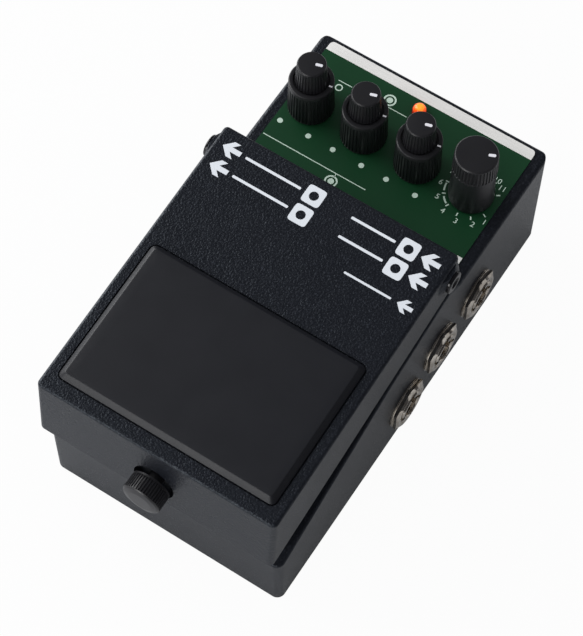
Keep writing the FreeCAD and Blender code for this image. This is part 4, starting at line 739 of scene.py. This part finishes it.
class PEDAL_OT_pad(bpy.types.Operator):
    """Moulds the treadle's rubber pad with its rounded bevel"""

    bl_idname = "pedal.pad"
    bl_label = "Rubber pad"

    def execute(self, context):
        low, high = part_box("treadle_pad")
        x0, x1 = low.x / MM, high.x / MM
        y0, y1 = (low.y - FRONT_Y) / MM, (high.y - FRONT_Y) / MM
        mid_y = (y0 + y1) / 2
        corner, least_corner, bevel, rise, sink = 1.6, 0.8, 1.35, 1.4, -0.7
        side = [Vector((0, sink))] + rounded(
            [(0, sink, 0), (0, rise - bevel, 0.25), (bevel, rise, 0.55), (4.0, rise, 0)])[1:]
        rings = []
        for inset, height in side:
            radius = max(corner - inset * 0.6, least_corner)
            outline = box_outline(x0 + inset, x1 - inset, y0 + inset, y1 - inset, radius, 8)
            rings.append([self.spot(x, y, height) for x, y in outline])
        rim = rings[-1]
        for share in (0.75, 0.5, 0.25):
            ring = []
            for p in rim:
                y = mid_y + ((p.y - FRONT_Y) / MM - mid_y) * share
                ring.append(Vector((p.x * share, y * MM + FRONT_Y, (treadle_top(y) + rise) * MM)))
            rings.append(ring)
        rings.append([self.spot(0, mid_y, rise)])
        rings.insert(0, [self.spot(0, mid_y, sink)])
        mesh = ring_mesh("treadle_pad_moulded", rings)
        piece("treadle_pad_moulded", mesh, "treadle_body", need("Pad rubber"), ("treadle_pad",),
              50)
        return {"FINISHED"}

    def spot(self, x, y, height):
        """A point at a height over the treadle's upper face."""
        return Vector((x * MM, y * MM + FRONT_Y, (treadle_top(y) + height) * MM))


def pointer_mark(settings, reach):
    """A rounded bar along X whose outer end stands at a distance from the axis."""
    half = settings.mark_width / MM / 2
    length = settings.mark_length / MM
    return box_outline(reach - length, reach, -half, half, half)


class PEDAL_OT_knobs(bpy.types.Operator):
    """Turns the ribbed knobs with their pointer marks"""

    bl_idname = "pedal.knobs"
    bl_label = "Knobs"

    # how deep a pointer mark is let into the top of its knob
    INLAY = 0.26

    def execute(self, context):
        settings = context.scene.pedal_knobs
        for number, x in enumerate(KNOB_XS, 1):
            self.outer(settings, number, x)
            self.inner(settings, number, x)
        self.mode(settings)
        return {"FINISHED"}

    def outer(self, settings, number, x):
        low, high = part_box("outer_knob_%d" % number)
        bottom, top = low.z / MM, high.z / MM
        body = "outer_knob_body_%d" % number
        rows = [(6.14 - n * 0.03, bottom + 0.3 + n * (top - bottom - 2.1) / 8, 0) for n in range(9)]
        profile = rounded(self.hollow(bottom) + [(6.05, bottom, 0.2)] + rows
                          + [(5.9, top - 1.5, 0), (5.9, top, 0.45), (4.7, top, 0.2), (4.7, top - 0.8, 0),
                             (2.52, top - 0.8, 0)])
        ribbed_piece("outer_knob_%d" % number, profile, True, (bottom + 0.2, top - 1.7, 5.8),
                     settings.outer_ribs, settings.rib_depth, body, at(x, KNOB_Y, 0))
        inner_end, outer_end, half = 4.8, 5.7, 0.22
        bar = [(inner_end, -half), (outer_end, -half), (outer_end, half), (inner_end, half)]
        self.mark("outer_mark_%d" % number, bar, 0.03, 10, at(x, KNOB_Y, top), body)

    def inner(self, settings, number, x):
        low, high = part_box("inner_knob_%d" % number)
        bottom, top = low.z / MM, high.z / MM
        body = "inner_knob_body_%d" % number
        rows = [(4.28 - n * 0.061, bottom + 0.3 + n * (top - bottom - 1.9) / 7, 0) for n in range(8)]
        profile = rounded([(0, bottom, 0), (4.15, bottom, 0.15)] + rows
                          + [(3.8, top - 0.6, 0.2), (3.55, top - 0.2, 0.2), (0, top - 0.12, 0)])
        ribbed_piece("inner_knob_%d" % number, profile, False, (bottom + 0.2, top - 1.5, 3.7),
                     settings.inner_ribs, settings.rib_depth * 0.85, body, at(x, KNOB_Y, 0))
        self.mark("inner_mark_%d" % number, pointer_mark(settings, 2.85), self.INLAY, 17,
                  at(x, KNOB_Y, top - self.INLAY), body)

    def mode(self, settings):
        low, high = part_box("mode_knob")
        bottom, top = low.z / MM, high.z / MM
        cap = 53.5
        rows = [(5.78 - n * 0.03, cap + n * (top - 1.2 - cap) / 6, 0) for n in range(7)]
        profile = rounded(self.hollow(bottom) + [(5.95, bottom, 0.2), (6.0, bottom + 1.2, 0.3),
                                                 (5.75, bottom + 4.2, 0.6), (5.62, 53.1, 0.15),
                                                 (5.78, 53.3, 0.05)]
                          + rows + [(5.55, top - 0.6, 0.2), (5.25, top - 0.2, 0.25), (0, top - 0.12, 0)])
        ribbed_piece("mode_knob", [Vector((0, bottom + 2.3))] + profile, False, (53.4, top - 0.9, 5.4),
                     settings.outer_ribs, settings.rib_depth, "mode_knob_body", at(MODE_X, KNOB_Y, 0))
        self.mark("mode_mark", pointer_mark(settings, 4.75), self.INLAY, 26,
                  at(MODE_X, KNOB_Y, top - self.INLAY), "mode_knob_body")

    def hollow(self, bottom):
        """The profile of the hollow under a knob, from its shaft out."""
        return [(2.52, bottom + 2.3, 0), (4.95, bottom + 2.3, 0), (4.95, bottom, 0)]

    def mark(self, name, outline, height, degrees, spot, body):
        """A white pointer mark turned about its knob's axis."""
        mesh = placed(plate("mark", [outline], height * MM), Matrix.Rotation(math.radians(degrees), 4, "Z"))
        piece(name, placed(mesh, spot), body, need("Mark white"), ())


class PEDAL_OT_thumbscrew(bpy.types.Operator):
    """Turns the ribbed thumbscrew on the treadle's front"""

    bl_idname = "pedal.thumbscrew"
    bl_label = "Thumbscrew"

    def execute(self, context):
        settings = context.scene.pedal_knobs
        low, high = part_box("thumbscrew")
        face = (low.y - FRONT_Y) / MM
        length = (high.y - FRONT_Y) / MM - face
        head, shank = 4.8, 2.0
        rows = [(5.25, 0.95 + n * 0.7, 0) for n in range(6)]
        profile = rounded([(0, 0, 0), (3.4, 0.05, 1.5), (4.85, 0.35, 0.25), (5.2, 0.7, 0.2)] + rows
                          + [(5.2, 4.78, 0.15), (4.9, head, 0), (shank, head, 0.1),
                             (shank, length - 0.5, 0.1), (1.5, length, 0), (0, length, 0)])
        ribbed_piece("thumbscrew", profile, False, (0.8, 4.7, 5.1), settings.thumb_ribs, settings.rib_depth,
                     "thumbscrew_body", Matrix.Rotation(math.radians(-90), 4, "X"),
                     at(0, face, THUMBSCREW_Z))
        return {"FINISHED"}


class PEDAL_OT_pins(bpy.types.Operator):
    """Turns the two hinge pins with their dished heads"""

    bl_idname = "pedal.pins"
    bl_label = "Hinge pins"

    def execute(self, context):
        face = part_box("hinge_pins")[1].x / MM
        tail, shank, head = 26.4, 1.5, 3.0
        profile = rounded([(0, tail, 0), (1.3, tail, 0.2), (shank, tail + 0.3, 0), (shank, face - 1.5, 0),
                           (head, face - 1.5, 0.1), (head, face, 0.45), (1.75, face, 0.3),
                           (1.45, face - 0.45, 0.2), (0, face - 0.5, 0)], False, 5)
        meshes = []
        for side in (-1, 1):
            mesh = turned("pin", profile, 64)
            placed(mesh, Matrix.Rotation(math.radians(90 * side), 4, "Y"))
            meshes.append(placed(mesh, at(0, *HINGE)))
        piece("hinge_pins_turned", joined("pins", meshes), "hinge_body", need("Black pin"), ("hinge_pins",))
        return {"FINISHED"}


class PEDAL_OT_jacks(bpy.types.Operator):
    """Makes the jacks' washers, six-sided nuts and threaded bushings"""

    bl_idname = "pedal.jacks"
    bl_label = "Jack hardware"

    def execute(self, context):
        nickel = need("Nickel plate")
        flats = tree_named("Six flats", hexagon_tree)
        start = WALL_X + 0.6
        bore, rim = 4.75, 7.1
        washer = [(bore, WALL_X, 0), (rim, WALL_X, 0.05), (rim, WALL_X + 0.26, 0.05),
                  (6.75, WALL_X + 0.3, 0.02), (7.0, WALL_X + 0.34, 0.05), (6.95, start, 0.1), (bore, start, 0.1)]
        nut = [(4.72, start, 0), (7.0, start, 0.1), (7.3, start + 0.3, 0.1), (7.3, start + 0.85, 0.1),
               (6.0, start + 1.5, 0.15), (5.3, start + 1.5, 0.05), (5.2, start + 1.3, 0.05),
               (4.72, start + 1.3, 0.05)]
        washers, nuts, bushings = [], [], []
        for side, y, z in JACKS:
            spot = at(0, y, z) @ Matrix.Rotation(math.radians(90 * side), 4, "Y")
            washers.append(placed(turned("washer", rounded(washer, True), 72, True), spot))
            blank = turned("nut", rounded(nut, True), 96, True)
            nuts.append(placed(through_tree(blank, flats, {"Across Flats": 12.7 * MM}, nickel), spot))
            bushings.append(placed(self.bushing(), spot))
        for name, meshes, node in (("jack_washers_turned", washers, "jack_washers"),
                                   ("jack_nuts_cut", nuts, "jack_nuts"),
                                   ("jack_bushings_cut", bushings, "jack_bushings")):
            piece(name, joined(name, meshes), "case_body", nickel, (node,), 28)
        return {"FINISHED"}

    def bushing(self):
        """A threaded tube whose end has four notches."""
        start, face = WALL_X - 4.9, WALL_X + 2.4
        bore, root, crest = 3.2, 4.5, 4.7
        turns, pitch = 8, 0.5
        thread = []
        for n in range(turns):
            low = face - 0.45 - (turns - n) * pitch
            thread += [(root, low, 0), (crest, low + 0.17, 0), (crest, low + 0.27, 0), (root, low + 0.44, 0)]
        profile = [(bore, start, 0), (root, start, 0)] + thread + [
            (4.55, face - 0.4, 0), (4.4, face, 0.15), (3.55, face, 0.2), (bore, face - 0.4, 0.1)]
        mesh = turned("bushing", rounded(profile, True, 2), 96, True)
        thing = bpy.data.objects.new("bushing", mesh)
        bpy.context.scene.collection.objects.link(thing)
        cutters = []
        for half_x, half_y in ((7.0, 0.7), (0.7, 7.0)):
            corners = [(-half_x, -half_y), (half_x, -half_y), (half_x, half_y), (-half_x, half_y)]
            bar = placed(plate("bar", [corners], 3 * MM), Matrix.Translation((0, 0, (face - 0.7) * MM)))
            cutter = bpy.data.objects.new("bar", bar)
            bpy.context.scene.collection.objects.link(cutter)
            cutters.append(cutter)
            notch = thing.modifiers.new("notch", "BOOLEAN")
            notch.object = cutter
            notch.solver = "EXACT"
        made = settled(thing)
        for cutter in cutters:
            bpy.data.objects.remove(cutter)
        return made


class PEDAL_OT_lamp(bpy.types.Operator):
    """Turns the check lamp's lens"""

    bl_idname = "pedal.lamp"
    bl_label = "Check lamp"

    def execute(self, context):
        low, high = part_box("check_lamp")
        x, y = (low.x + high.x) / 2 / MM, ((low.y + high.y) / 2 - FRONT_Y) / MM
        top = high.z / MM
        radius, flange, foot, shoulder = 1.8, 2.3, 33.0, 33.8
        dome = [(radius * math.sin(math.radians(a)), top - radius + radius * math.cos(math.radians(a)))
                for a in range(85, 0, -6)]
        profile = [(0, foot), (flange, foot), (flange, shoulder), (radius, shoulder), (radius, top - radius)]
        profile = [Vector(p) for p in profile + dome + [(0, top)]]
        meshes = [placed(turned("lens", profile, 64), at(x, y, 0))]
        for side in (-1.0, 1.0):
            leg = [Vector(p) for p in ((0, low.z / MM), (0.25, low.z / MM), (0.25, 33.4), (0, 33.4))]
            meshes.append(placed(turned("leg", leg, 16), at(x + side, y, 0)))
        piece("check_lamp_lens", joined("lens", meshes), "case_body", need("Lamp lens"), ("check_lamp",),
              30)
        return {"FINISHED"}


def arrow(tip, length, scale=1.0):
    """A broad arrow along X whose tip is at a place and whose shaft lies to its right."""
    half = 0.68 * scale
    arm = 2.25 * scale
    thick = 1.75 * scale
    points = [(0, 0), (arm, arm), (arm + thick, arm), (thick + half, half), (length, half), (length, -half),
              (thick + half, -half), (arm + thick, -arm), (arm, -arm)]
    return [(tip[0] + x, tip[1] + y) for x, y in points]


def badge(x, y, half, hole, height):
    """A rounded square with a round hole."""
    outer = []
    inner = []
    power = 7
    for n in range(64):
        a = 2 * math.pi * (n + 0.5) / 64
        c, s = math.cos(a), math.sin(a)
        reach = half / (abs(c) ** power + abs(s) ** power) ** (1 / power)
        outer.append((x + reach * c, y + reach * s))
        inner.append((x + hole * c, y + hole * s))
    return framed_plate("badge", outer, inner, height)


class PEDAL_OT_treadle_print(bpy.types.Operator):
    """Prints the arrows, lines and badges on the treadle"""

    bl_idname = "pedal.treadle_print"
    bl_label = "Treadle print"

    def execute(self, context):
        height = context.scene.pedal_print.height
        rows = (75.0, 69.1)
        half_line = 0.36
        shapes = [arrow((x, y), 5.3) for x in (-31.3, 26.1) for y in rows]
        shapes.append(arrow((27.5, 61.7), 4.3, 0.8))
        for y in rows:
            shapes.append(box_outline(-24.6, -8.4, y - half_line, y + half_line, 0.3))
            shapes.append(box_outline(6.2, 18.8, y - half_line, y + half_line, 0.3))
        shapes.append(box_outline(12.5, 25.8, 61.4, 62.0, 0.28))
        meshes = [plate("print", shapes, height)]
        meshes += [badge(x, y, 2.55, 1.25, height) for x in (-4.6, 22.5) for y in (75.0, 69.0)]
        mesh = joined("treadle_print", meshes)
        for vertex in mesh.vertices:
            vertex.co.z += treadle_top(vertex.co.y / MM) * MM
        piece("treadle_print", from_front(mesh), "treadle_body", need("Treadle ink"))
        return {"FINISHED"}


class PEDAL_OT_label_print(bpy.types.Operator):
    """Prints the lines, dots, rings, ticks and numbers on the control label"""

    bl_idname = "pedal.label_print"
    bl_label = "Label print"

    MARGIN = 0.05
    # The dial's positions in degrees; its first and last number stand a little aside to clear the edge.
    DIAL_STEP = 30
    NUMBER_START = 4.4
    NUMBER_ANGLES = {1: -34.4, 11: 46.5}
    NUMBER_REACH = 8.35
    NUMBER_SHIFT = (0.05, -0.43)

    def execute(self, context):
        settings = context.scene.pedal_print
        height = settings.height
        ink = need("Label ink")
        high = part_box("control_label")[1]
        side = high.x / MM - self.MARGIN
        rear = (high.y - FRONT_Y) / MM - self.MARGIN
        strip = rounded([(-side, 122.4, 0), (side, 122.4, 0), (side, rear, 2.95), (-side, rear, 2.95)], True, 8)
        fore = box_outline(-side, side, 85.05, 88.6)
        mesh = plate("strip", [[tuple(p) for p in strip], fore], height)
        piece("label_strips", placed(mesh, at(0, 0, LABEL_TOP)), "case_body", need("Silver strip"))

        lines = [box_outline(*sides) for sides in (
            (-30.6, 0.2, 91.88, 92.12), (-23.0, -18.9, 115.9, 116.12), (-7.9, -2.3, 115.9, 116.12),
            (-8.68, -8.47, 116.1, 116.6), (-8.58, -8.37, 90.9, 91.9))]
        meshes = [from_front(plate("lines", lines, height))]
        for x, y, outer, inner, dot in ((-8.5, 89.4, 1.75, 1.3, 0.85), (-8.6, 118.0, 1.75, 1.3, 0.85),
                                        (-21.7, 114.1, 1.05, 0.72, 0)):
            ring = framed_plate("ring", circle(x, y, outer), circle(x, y, inner), height)
            meshes.append(from_front(ring))
            if dot:
                meshes.append(from_front(plate("dot", [circle(x, y, dot)], height)))
        step = -math.radians(self.DIAL_STEP)
        sizes = {"Count": settings.positions, "Radius": 6.9 * MM, "Length": 1.0 * MM, "Width": 0.34 * MM,
                 "Height": height, "First Angle": step, "Step Angle": step}
        meshes.append(self.repeated(tree_named("Dial ticks", tick_tree), sizes, ink, MODE_X, KNOB_Y))
        for first, last in ((-125, -143), (-157, -176)):
            meshes.append(self.arc(math.radians(first), math.radians(last), 6.7, 7.15, height))
        sizes = {"Pairs": 3, "Pitch": (KNOB_XS[1] - KNOB_XS[0]) * MM, "Spread": 4.3 * MM,
                 "Dot Radius": settings.dot_radius, "Height": height}
        meshes.append(self.repeated(tree_named("Dot pairs", dot_tree), sizes, ink, KNOB_XS[0], 97.5))
        for n in range(1, settings.positions + 1):
            angle = math.radians(self.NUMBER_ANGLES.get(n, self.NUMBER_START - self.DIAL_STEP * n))
            x = MODE_X + self.NUMBER_SHIFT[0] + self.NUMBER_REACH * math.cos(angle)
            y = KNOB_Y + self.NUMBER_SHIFT[1] + self.NUMBER_REACH * math.sin(angle)
            meshes.append(self.number(str(n), x, y, settings.number_size, height))
        mesh = placed(joined("label_print", meshes), Matrix.Translation((0, 0, LABEL_TOP * MM)))
        piece("label_print", mesh, "case_body", ink)
        return {"FINISHED"}

    def repeated(self, tree, sizes, ink, x, y):
        """What a tree sets about a place on the label, with its underside at z = 0."""
        mesh = through_tree(bpy.data.meshes.new("empty"), tree, sizes, ink)
        return placed(mesh, at(x, y, 0) @ Matrix.Translation((0, 0, sizes["Height"] / 2)))

    def arc(self, first, last, inner, outer, height):
        """A short thick arc about the mode knob."""
        turn = [first + (last - first) * n / 8 for n in range(9)]
        outline = [(MODE_X + outer * math.cos(a), KNOB_Y + outer * math.sin(a)) for a in turn]
        outline += [(MODE_X + inner * math.cos(a), KNOB_Y + inner * math.sin(a)) for a in reversed(turn)]
        return from_front(plate("arc", [outline], height))

    def number(self, text, x, y, size, height):
        """A printed number centred on a place."""
        curve = bpy.data.curves.new("number", "FONT")
        curve.body = text
        curve.size = size
        curve.extrude = height / 2
        curve.align_x = "CENTER"
        curve.align_y = "CENTER"
        curve.resolution_u = 3
        thing = bpy.data.objects.new("number", curve)
        bpy.context.scene.collection.objects.link(thing)
        return from_front(placed(settled(thing), Matrix.Translation((x * MM, y * MM, height / 2))))


def tube(name, points, radius):
    """A round tube along a smooth curve near points in metres."""
    curve = bpy.data.curves.new(name, "CURVE")
    curve.dimensions = "3D"
    curve.bevel_depth = radius
    curve.bevel_resolution = 4
    curve.use_fill_caps = True
    curve.resolution_u = 12
    spline = curve.splines.new("NURBS")
    spline.points.add(len(points) - 1)
    for point, place in zip(spline.points, points):
        point.co = (*place, 1)
    spline.order_u = 3
    spline.use_endpoint_u = True
    thing = bpy.data.objects.new(name, curve)
    bpy.context.scene.collection.objects.link(thing)
    return settled(thing)


class PEDAL_OT_spring(bpy.types.Operator):
    """Winds the treadle's spring at one fixed length, though a real one shortens as the treadle is pressed"""

    bl_idname = "pedal.spring"
    bl_label = "Treadle spring"

    def execute(self, context):
        low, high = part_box("treadle_spring")
        centre = (low + high) / 2
        wire = 0.6 * MM
        radius = (high.x - low.x) / 2 - wire
        turns, steps, sides = 9, 36, 12
        closed = 1.65 * MM
        bottom, top = low.z + wire, high.z - wire
        pitch = (top - bottom - 2 * closed) / (turns - 2)
        rings = []
        for n in range(turns * steps + 1):
            t = n / steps
            if t < 1:
                z = bottom + closed * t
            elif t > turns - 1:
                z = top - closed * (turns - t)
            else:
                z = bottom + closed + pitch * (t - 1)
            a = 2 * math.pi * t
            out = Vector((math.cos(a), math.sin(a), 0))
            spot = Vector((centre.x, centre.y, z)) + out * radius
            rings.append([spot + out * (wire * math.cos(b)) + Vector((0, 0, wire * math.sin(b)))
                          for b in [2 * math.pi * k / sides for k in range(sides)]])
        first, last = ([sum(ring, Vector()) / sides] for ring in (rings[0], rings[-1]))
        mesh = ring_mesh("spring", [first] + rings + [last])
        spring = piece("treadle_spring_wound", mesh, "case_body", need("Bright steel"), ("treadle_spring",))
        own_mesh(spring)
        return {"FINISHED"}


class PEDAL_OT_leads(bpy.types.Operator):
    """Lays the battery's two leads and its foam"""

    bl_idname = "pedal.leads"
    bl_label = "Battery leads and foam"

    def execute(self, context):
        for name, finish, slot in (("battery_lead_red", "Red lead", "lead_red"),
                                   ("battery_lead_black", "Black lead", "lead_black")):
            low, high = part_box(name)
            x = (low.x + high.x) / 2
            radius = (high.x - low.x) / 2
            y0, y1 = low.y, high.y - radius
            z1, z0 = high.z - radius, low.z
            bend = 3.8 * MM
            points = [(x, y0, z1), (x, (y0 + y1 - bend) / 2, z1), (x, y1 - bend * 0.8, z1),
                      (x, y1 - bend * 0.12, z1 - bend * 0.12), (x, y1, z1 - bend * 0.8), (x, y1, z0)]
            mesh = tube(name, points, radius)
            piece(name + "_drawn", mesh, "case_body", need(finish), (name,))
        low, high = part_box("battery_foam")
        x0, x1, y0, y1 = low.x / MM, high.x / MM, low.y / MM, high.y / MM
        edge = 0.35
        rings = []
        for inset, z in ((edge, low.z), (0.0, low.z + edge * MM), (0.0, high.z - edge * MM), (edge, high.z)):
            outline = box_outline(x0 + inset, x1 - inset, y0 + inset, y1 - inset, 1.2)
            rings.append([Vector((x * MM, y * MM, z)) for x, y in outline])
        middle = Vector(((low.x + high.x) / 2, (low.y + high.y) / 2, 0))
        rings.insert(0, [Vector((middle.x, middle.y, low.z))])
        rings.append([Vector((middle.x, middle.y, high.z))])
        foam = piece("battery_foam_cut", ring_mesh("foam", rings), "case_body", need("Grey foam"),
                     ("battery_foam",))
        return {"FINISHED"}


class PEDAL_OT_stage(bpy.types.Operator):
    """Sets the floor, the lamps and the camera"""

    bl_idname = "pedal.stage"
    bl_label = "Stage"

    # each lamp's place and size in metres and the setting that holds its power
    LAMPS = (("Key", (-0.62, -0.08, 0.46), 0.5, "key_power"),
             ("Front", (-0.20, -0.80, 0.36), 0.35, "fill_power"),
             ("Rim", (-0.75, 0.30, 0.20), 0.4, "rim_power"))
    AIM = Vector((0, 0, 0.03))
    # the camera's azimuth, elevation and roll in degrees, and its place
    CAMERA_ANGLES = (32.39, 63.41, 0.55)
    CAMERA_PLACE = (142.49, -166.57, 555.06)

    def execute(self, context):
        scene = context.scene
        settings = scene.pedal_stage
        self.floor()
        self.sky(scene, settings.sky)
        for name, place, size, power in self.LAMPS:
            self.lamp(name, place, size, getattr(settings, power))
        self.camera(scene, settings.lens)
        scene.view_settings.view_transform = "Standard"
        return {"FINISHED"}

    def floor(self):
        """A wide pale floor that the camera sees white, with the pedal's shadow on it."""
        half, gap = 1.5, 0.05 * MM
        corners = ((-half, -half), (half, -half), (half, half), (-half, half))
        made = bmesh.new()
        made.faces.new([made.verts.new((x, y, -gap)) for x, y in corners])
        mesh = bpy.data.meshes.new("floor")
        made.to_mesh(mesh)
        made.free()
        material, tree, shader, _ = surface("Pale floor", (0.60, 0.61, 0.63), 0.8)
        path = tree.nodes.new("ShaderNodeLightPath")
        glow = add_node(tree, "ShaderNodeEmission", None, {"Color": (1, 1, 1, 1), "Strength": 1.0})
        seen, gloss, through = (Wire(tree, path.outputs[kind]) for kind in (
            "Is Camera Ray", "Is Glossy Ray", "Is Transmission Ray"))
        seen = seen.math("MAXIMUM", seen * 0.96, (gloss + through) * 0.05)
        both = add_node(tree, "ShaderNodeMixShader", None, {0: seen})
        tree.links.new(shader.outputs[0], both.socket.node.inputs[1])
        tree.links.new(glow.socket, both.socket.node.inputs[2])
        tree.links.new(both.socket, tree.nodes["Material Output"].inputs["Surface"])
        mesh.materials.append(material)
        floor = bpy.data.objects.new("floor", mesh)
        bpy.context.scene.collection.objects.link(floor)

    def sky(self, scene, strength):
        """Even light, white behind the pedal, with a bright wall to one side for glossy surfaces."""
        world = bpy.data.worlds.new("Studio")
        scene.world = world
        world.use_nodes = True
        tree = world.node_tree
        path = tree.nodes.new("ShaderNodeLightPath")
        where = add_node(tree, "ShaderNodeTexCoord", output=0)
        parts = add_node(tree, "ShaderNodeSeparateXYZ", None, {0: where}).socket.node.outputs
        x, y, z = (Wire(tree, part) for part in parts)
        aside = (x * -0.9 + y * -0.43).smooth_step(-0.1, 0.4)
        wall = aside * (1 - z.smooth_step(0.15, 0.7))
        dome = mixed(tree, wall, rgba((0.06, 0.06, 0.065)), rgba((0.95, 0.95, 0.94)))
        even = rgba((strength, strength, strength))
        lit = mixed(tree, Wire(tree, path.outputs["Is Glossy Ray"]), even, dome)
        seen = mixed(tree, Wire(tree, path.outputs["Is Camera Ray"]), lit, rgba((1, 1, 1)))
        tree.links.new(seen.socket, tree.nodes["Background"].inputs["Color"])

    def lamp(self, name, place, size, power):
        data = bpy.data.lights.new(name, "AREA")
        data.shape = "SQUARE"
        data.size = size
        data.energy = power
        lamp = bpy.data.objects.new(name, data)
        lamp.location = place
        lamp.rotation_euler = (self.AIM - Vector(place)).to_track_quat("-Z", "Y").to_euler()
        bpy.context.scene.collection.objects.link(lamp)

    def camera(self, scene, lens):
        azimuth, elevation, roll = (math.radians(a) for a in self.CAMERA_ANGLES)
        ahead = Vector((-math.sin(azimuth) * math.cos(elevation), math.cos(azimuth) * math.cos(elevation),
                        -math.sin(elevation)))
        right = Vector((math.cos(azimuth), math.sin(azimuth), 0))
        up = right.cross(ahead)
        right, up = (right * math.cos(roll) + up * math.sin(roll),
                     up * math.cos(roll) - right * math.sin(roll))
        data = bpy.data.cameras.new("Camera")
        data.lens = lens
        data.sensor_width = 36.0
        data.clip_start = 0.01
        data.clip_end = 10.0
        camera = bpy.data.objects.new("Camera", data)
        turn = Matrix((right, up, -ahead)).transposed().to_4x4()
        camera.matrix_world = at(*self.CAMERA_PLACE) @ turn
        bpy.context.scene.collection.objects.link(camera)
        scene.camera = camera


OPERATORS = (PEDAL_OT_finishes, PEDAL_OT_pad, PEDAL_OT_knobs, PEDAL_OT_thumbscrew, PEDAL_OT_pins,
             PEDAL_OT_jacks, PEDAL_OT_lamp, PEDAL_OT_treadle_print, PEDAL_OT_label_print, PEDAL_OT_spring,
             PEDAL_OT_leads, PEDAL_OT_stage)


class PEDAL_PT_panel(bpy.types.Panel):
    """The pedal's settings and the operators that build it"""

    bl_idname = "PEDAL_PT_panel"
    bl_label = "Echo pedal"
    bl_space_type = "VIEW_3D"
    bl_region_type = "UI"
    bl_category = "Echo pedal"

    def draw(self, context):
        for operator in OPERATORS:
            self.layout.operator(operator.bl_idname)
        for group in SETTINGS:
            box = self.layout.box()
            settings = getattr(context.scene, group)
            for name in settings.bl_rna.properties.keys():
                if name not in ("rna_type", "name"):
                    box.prop(settings, name)


SETTINGS = {"pedal_coat": CoatSettings, "pedal_knobs": KnobSettings, "pedal_print": PrintSettings,
            "pedal_stage": StageSettings}


def register():
    for group in SETTINGS.values():
        bpy.utils.register_class(group)
    for name, group in SETTINGS.items():
        setattr(bpy.types.Scene, name, bpy.props.PointerProperty(type=group))
    for operator in OPERATORS:
        bpy.utils.register_class(operator)
    bpy.utils.register_class(PEDAL_PT_panel)


def unregister():
    bpy.utils.unregister_class(PEDAL_PT_panel)
    for operator in reversed(OPERATORS):
        bpy.utils.unregister_class(operator)
    for name in SETTINGS:
        delattr(bpy.types.Scene, name)
    for group in reversed(list(SETTINGS.values())):
        bpy.utils.unregister_class(group)


def main():
    register()
    for operator in OPERATORS:
        group, name = operator.bl_idname.split(".")
        getattr(getattr(bpy.ops, group), name)()


if __name__ == "__main__":
    main()
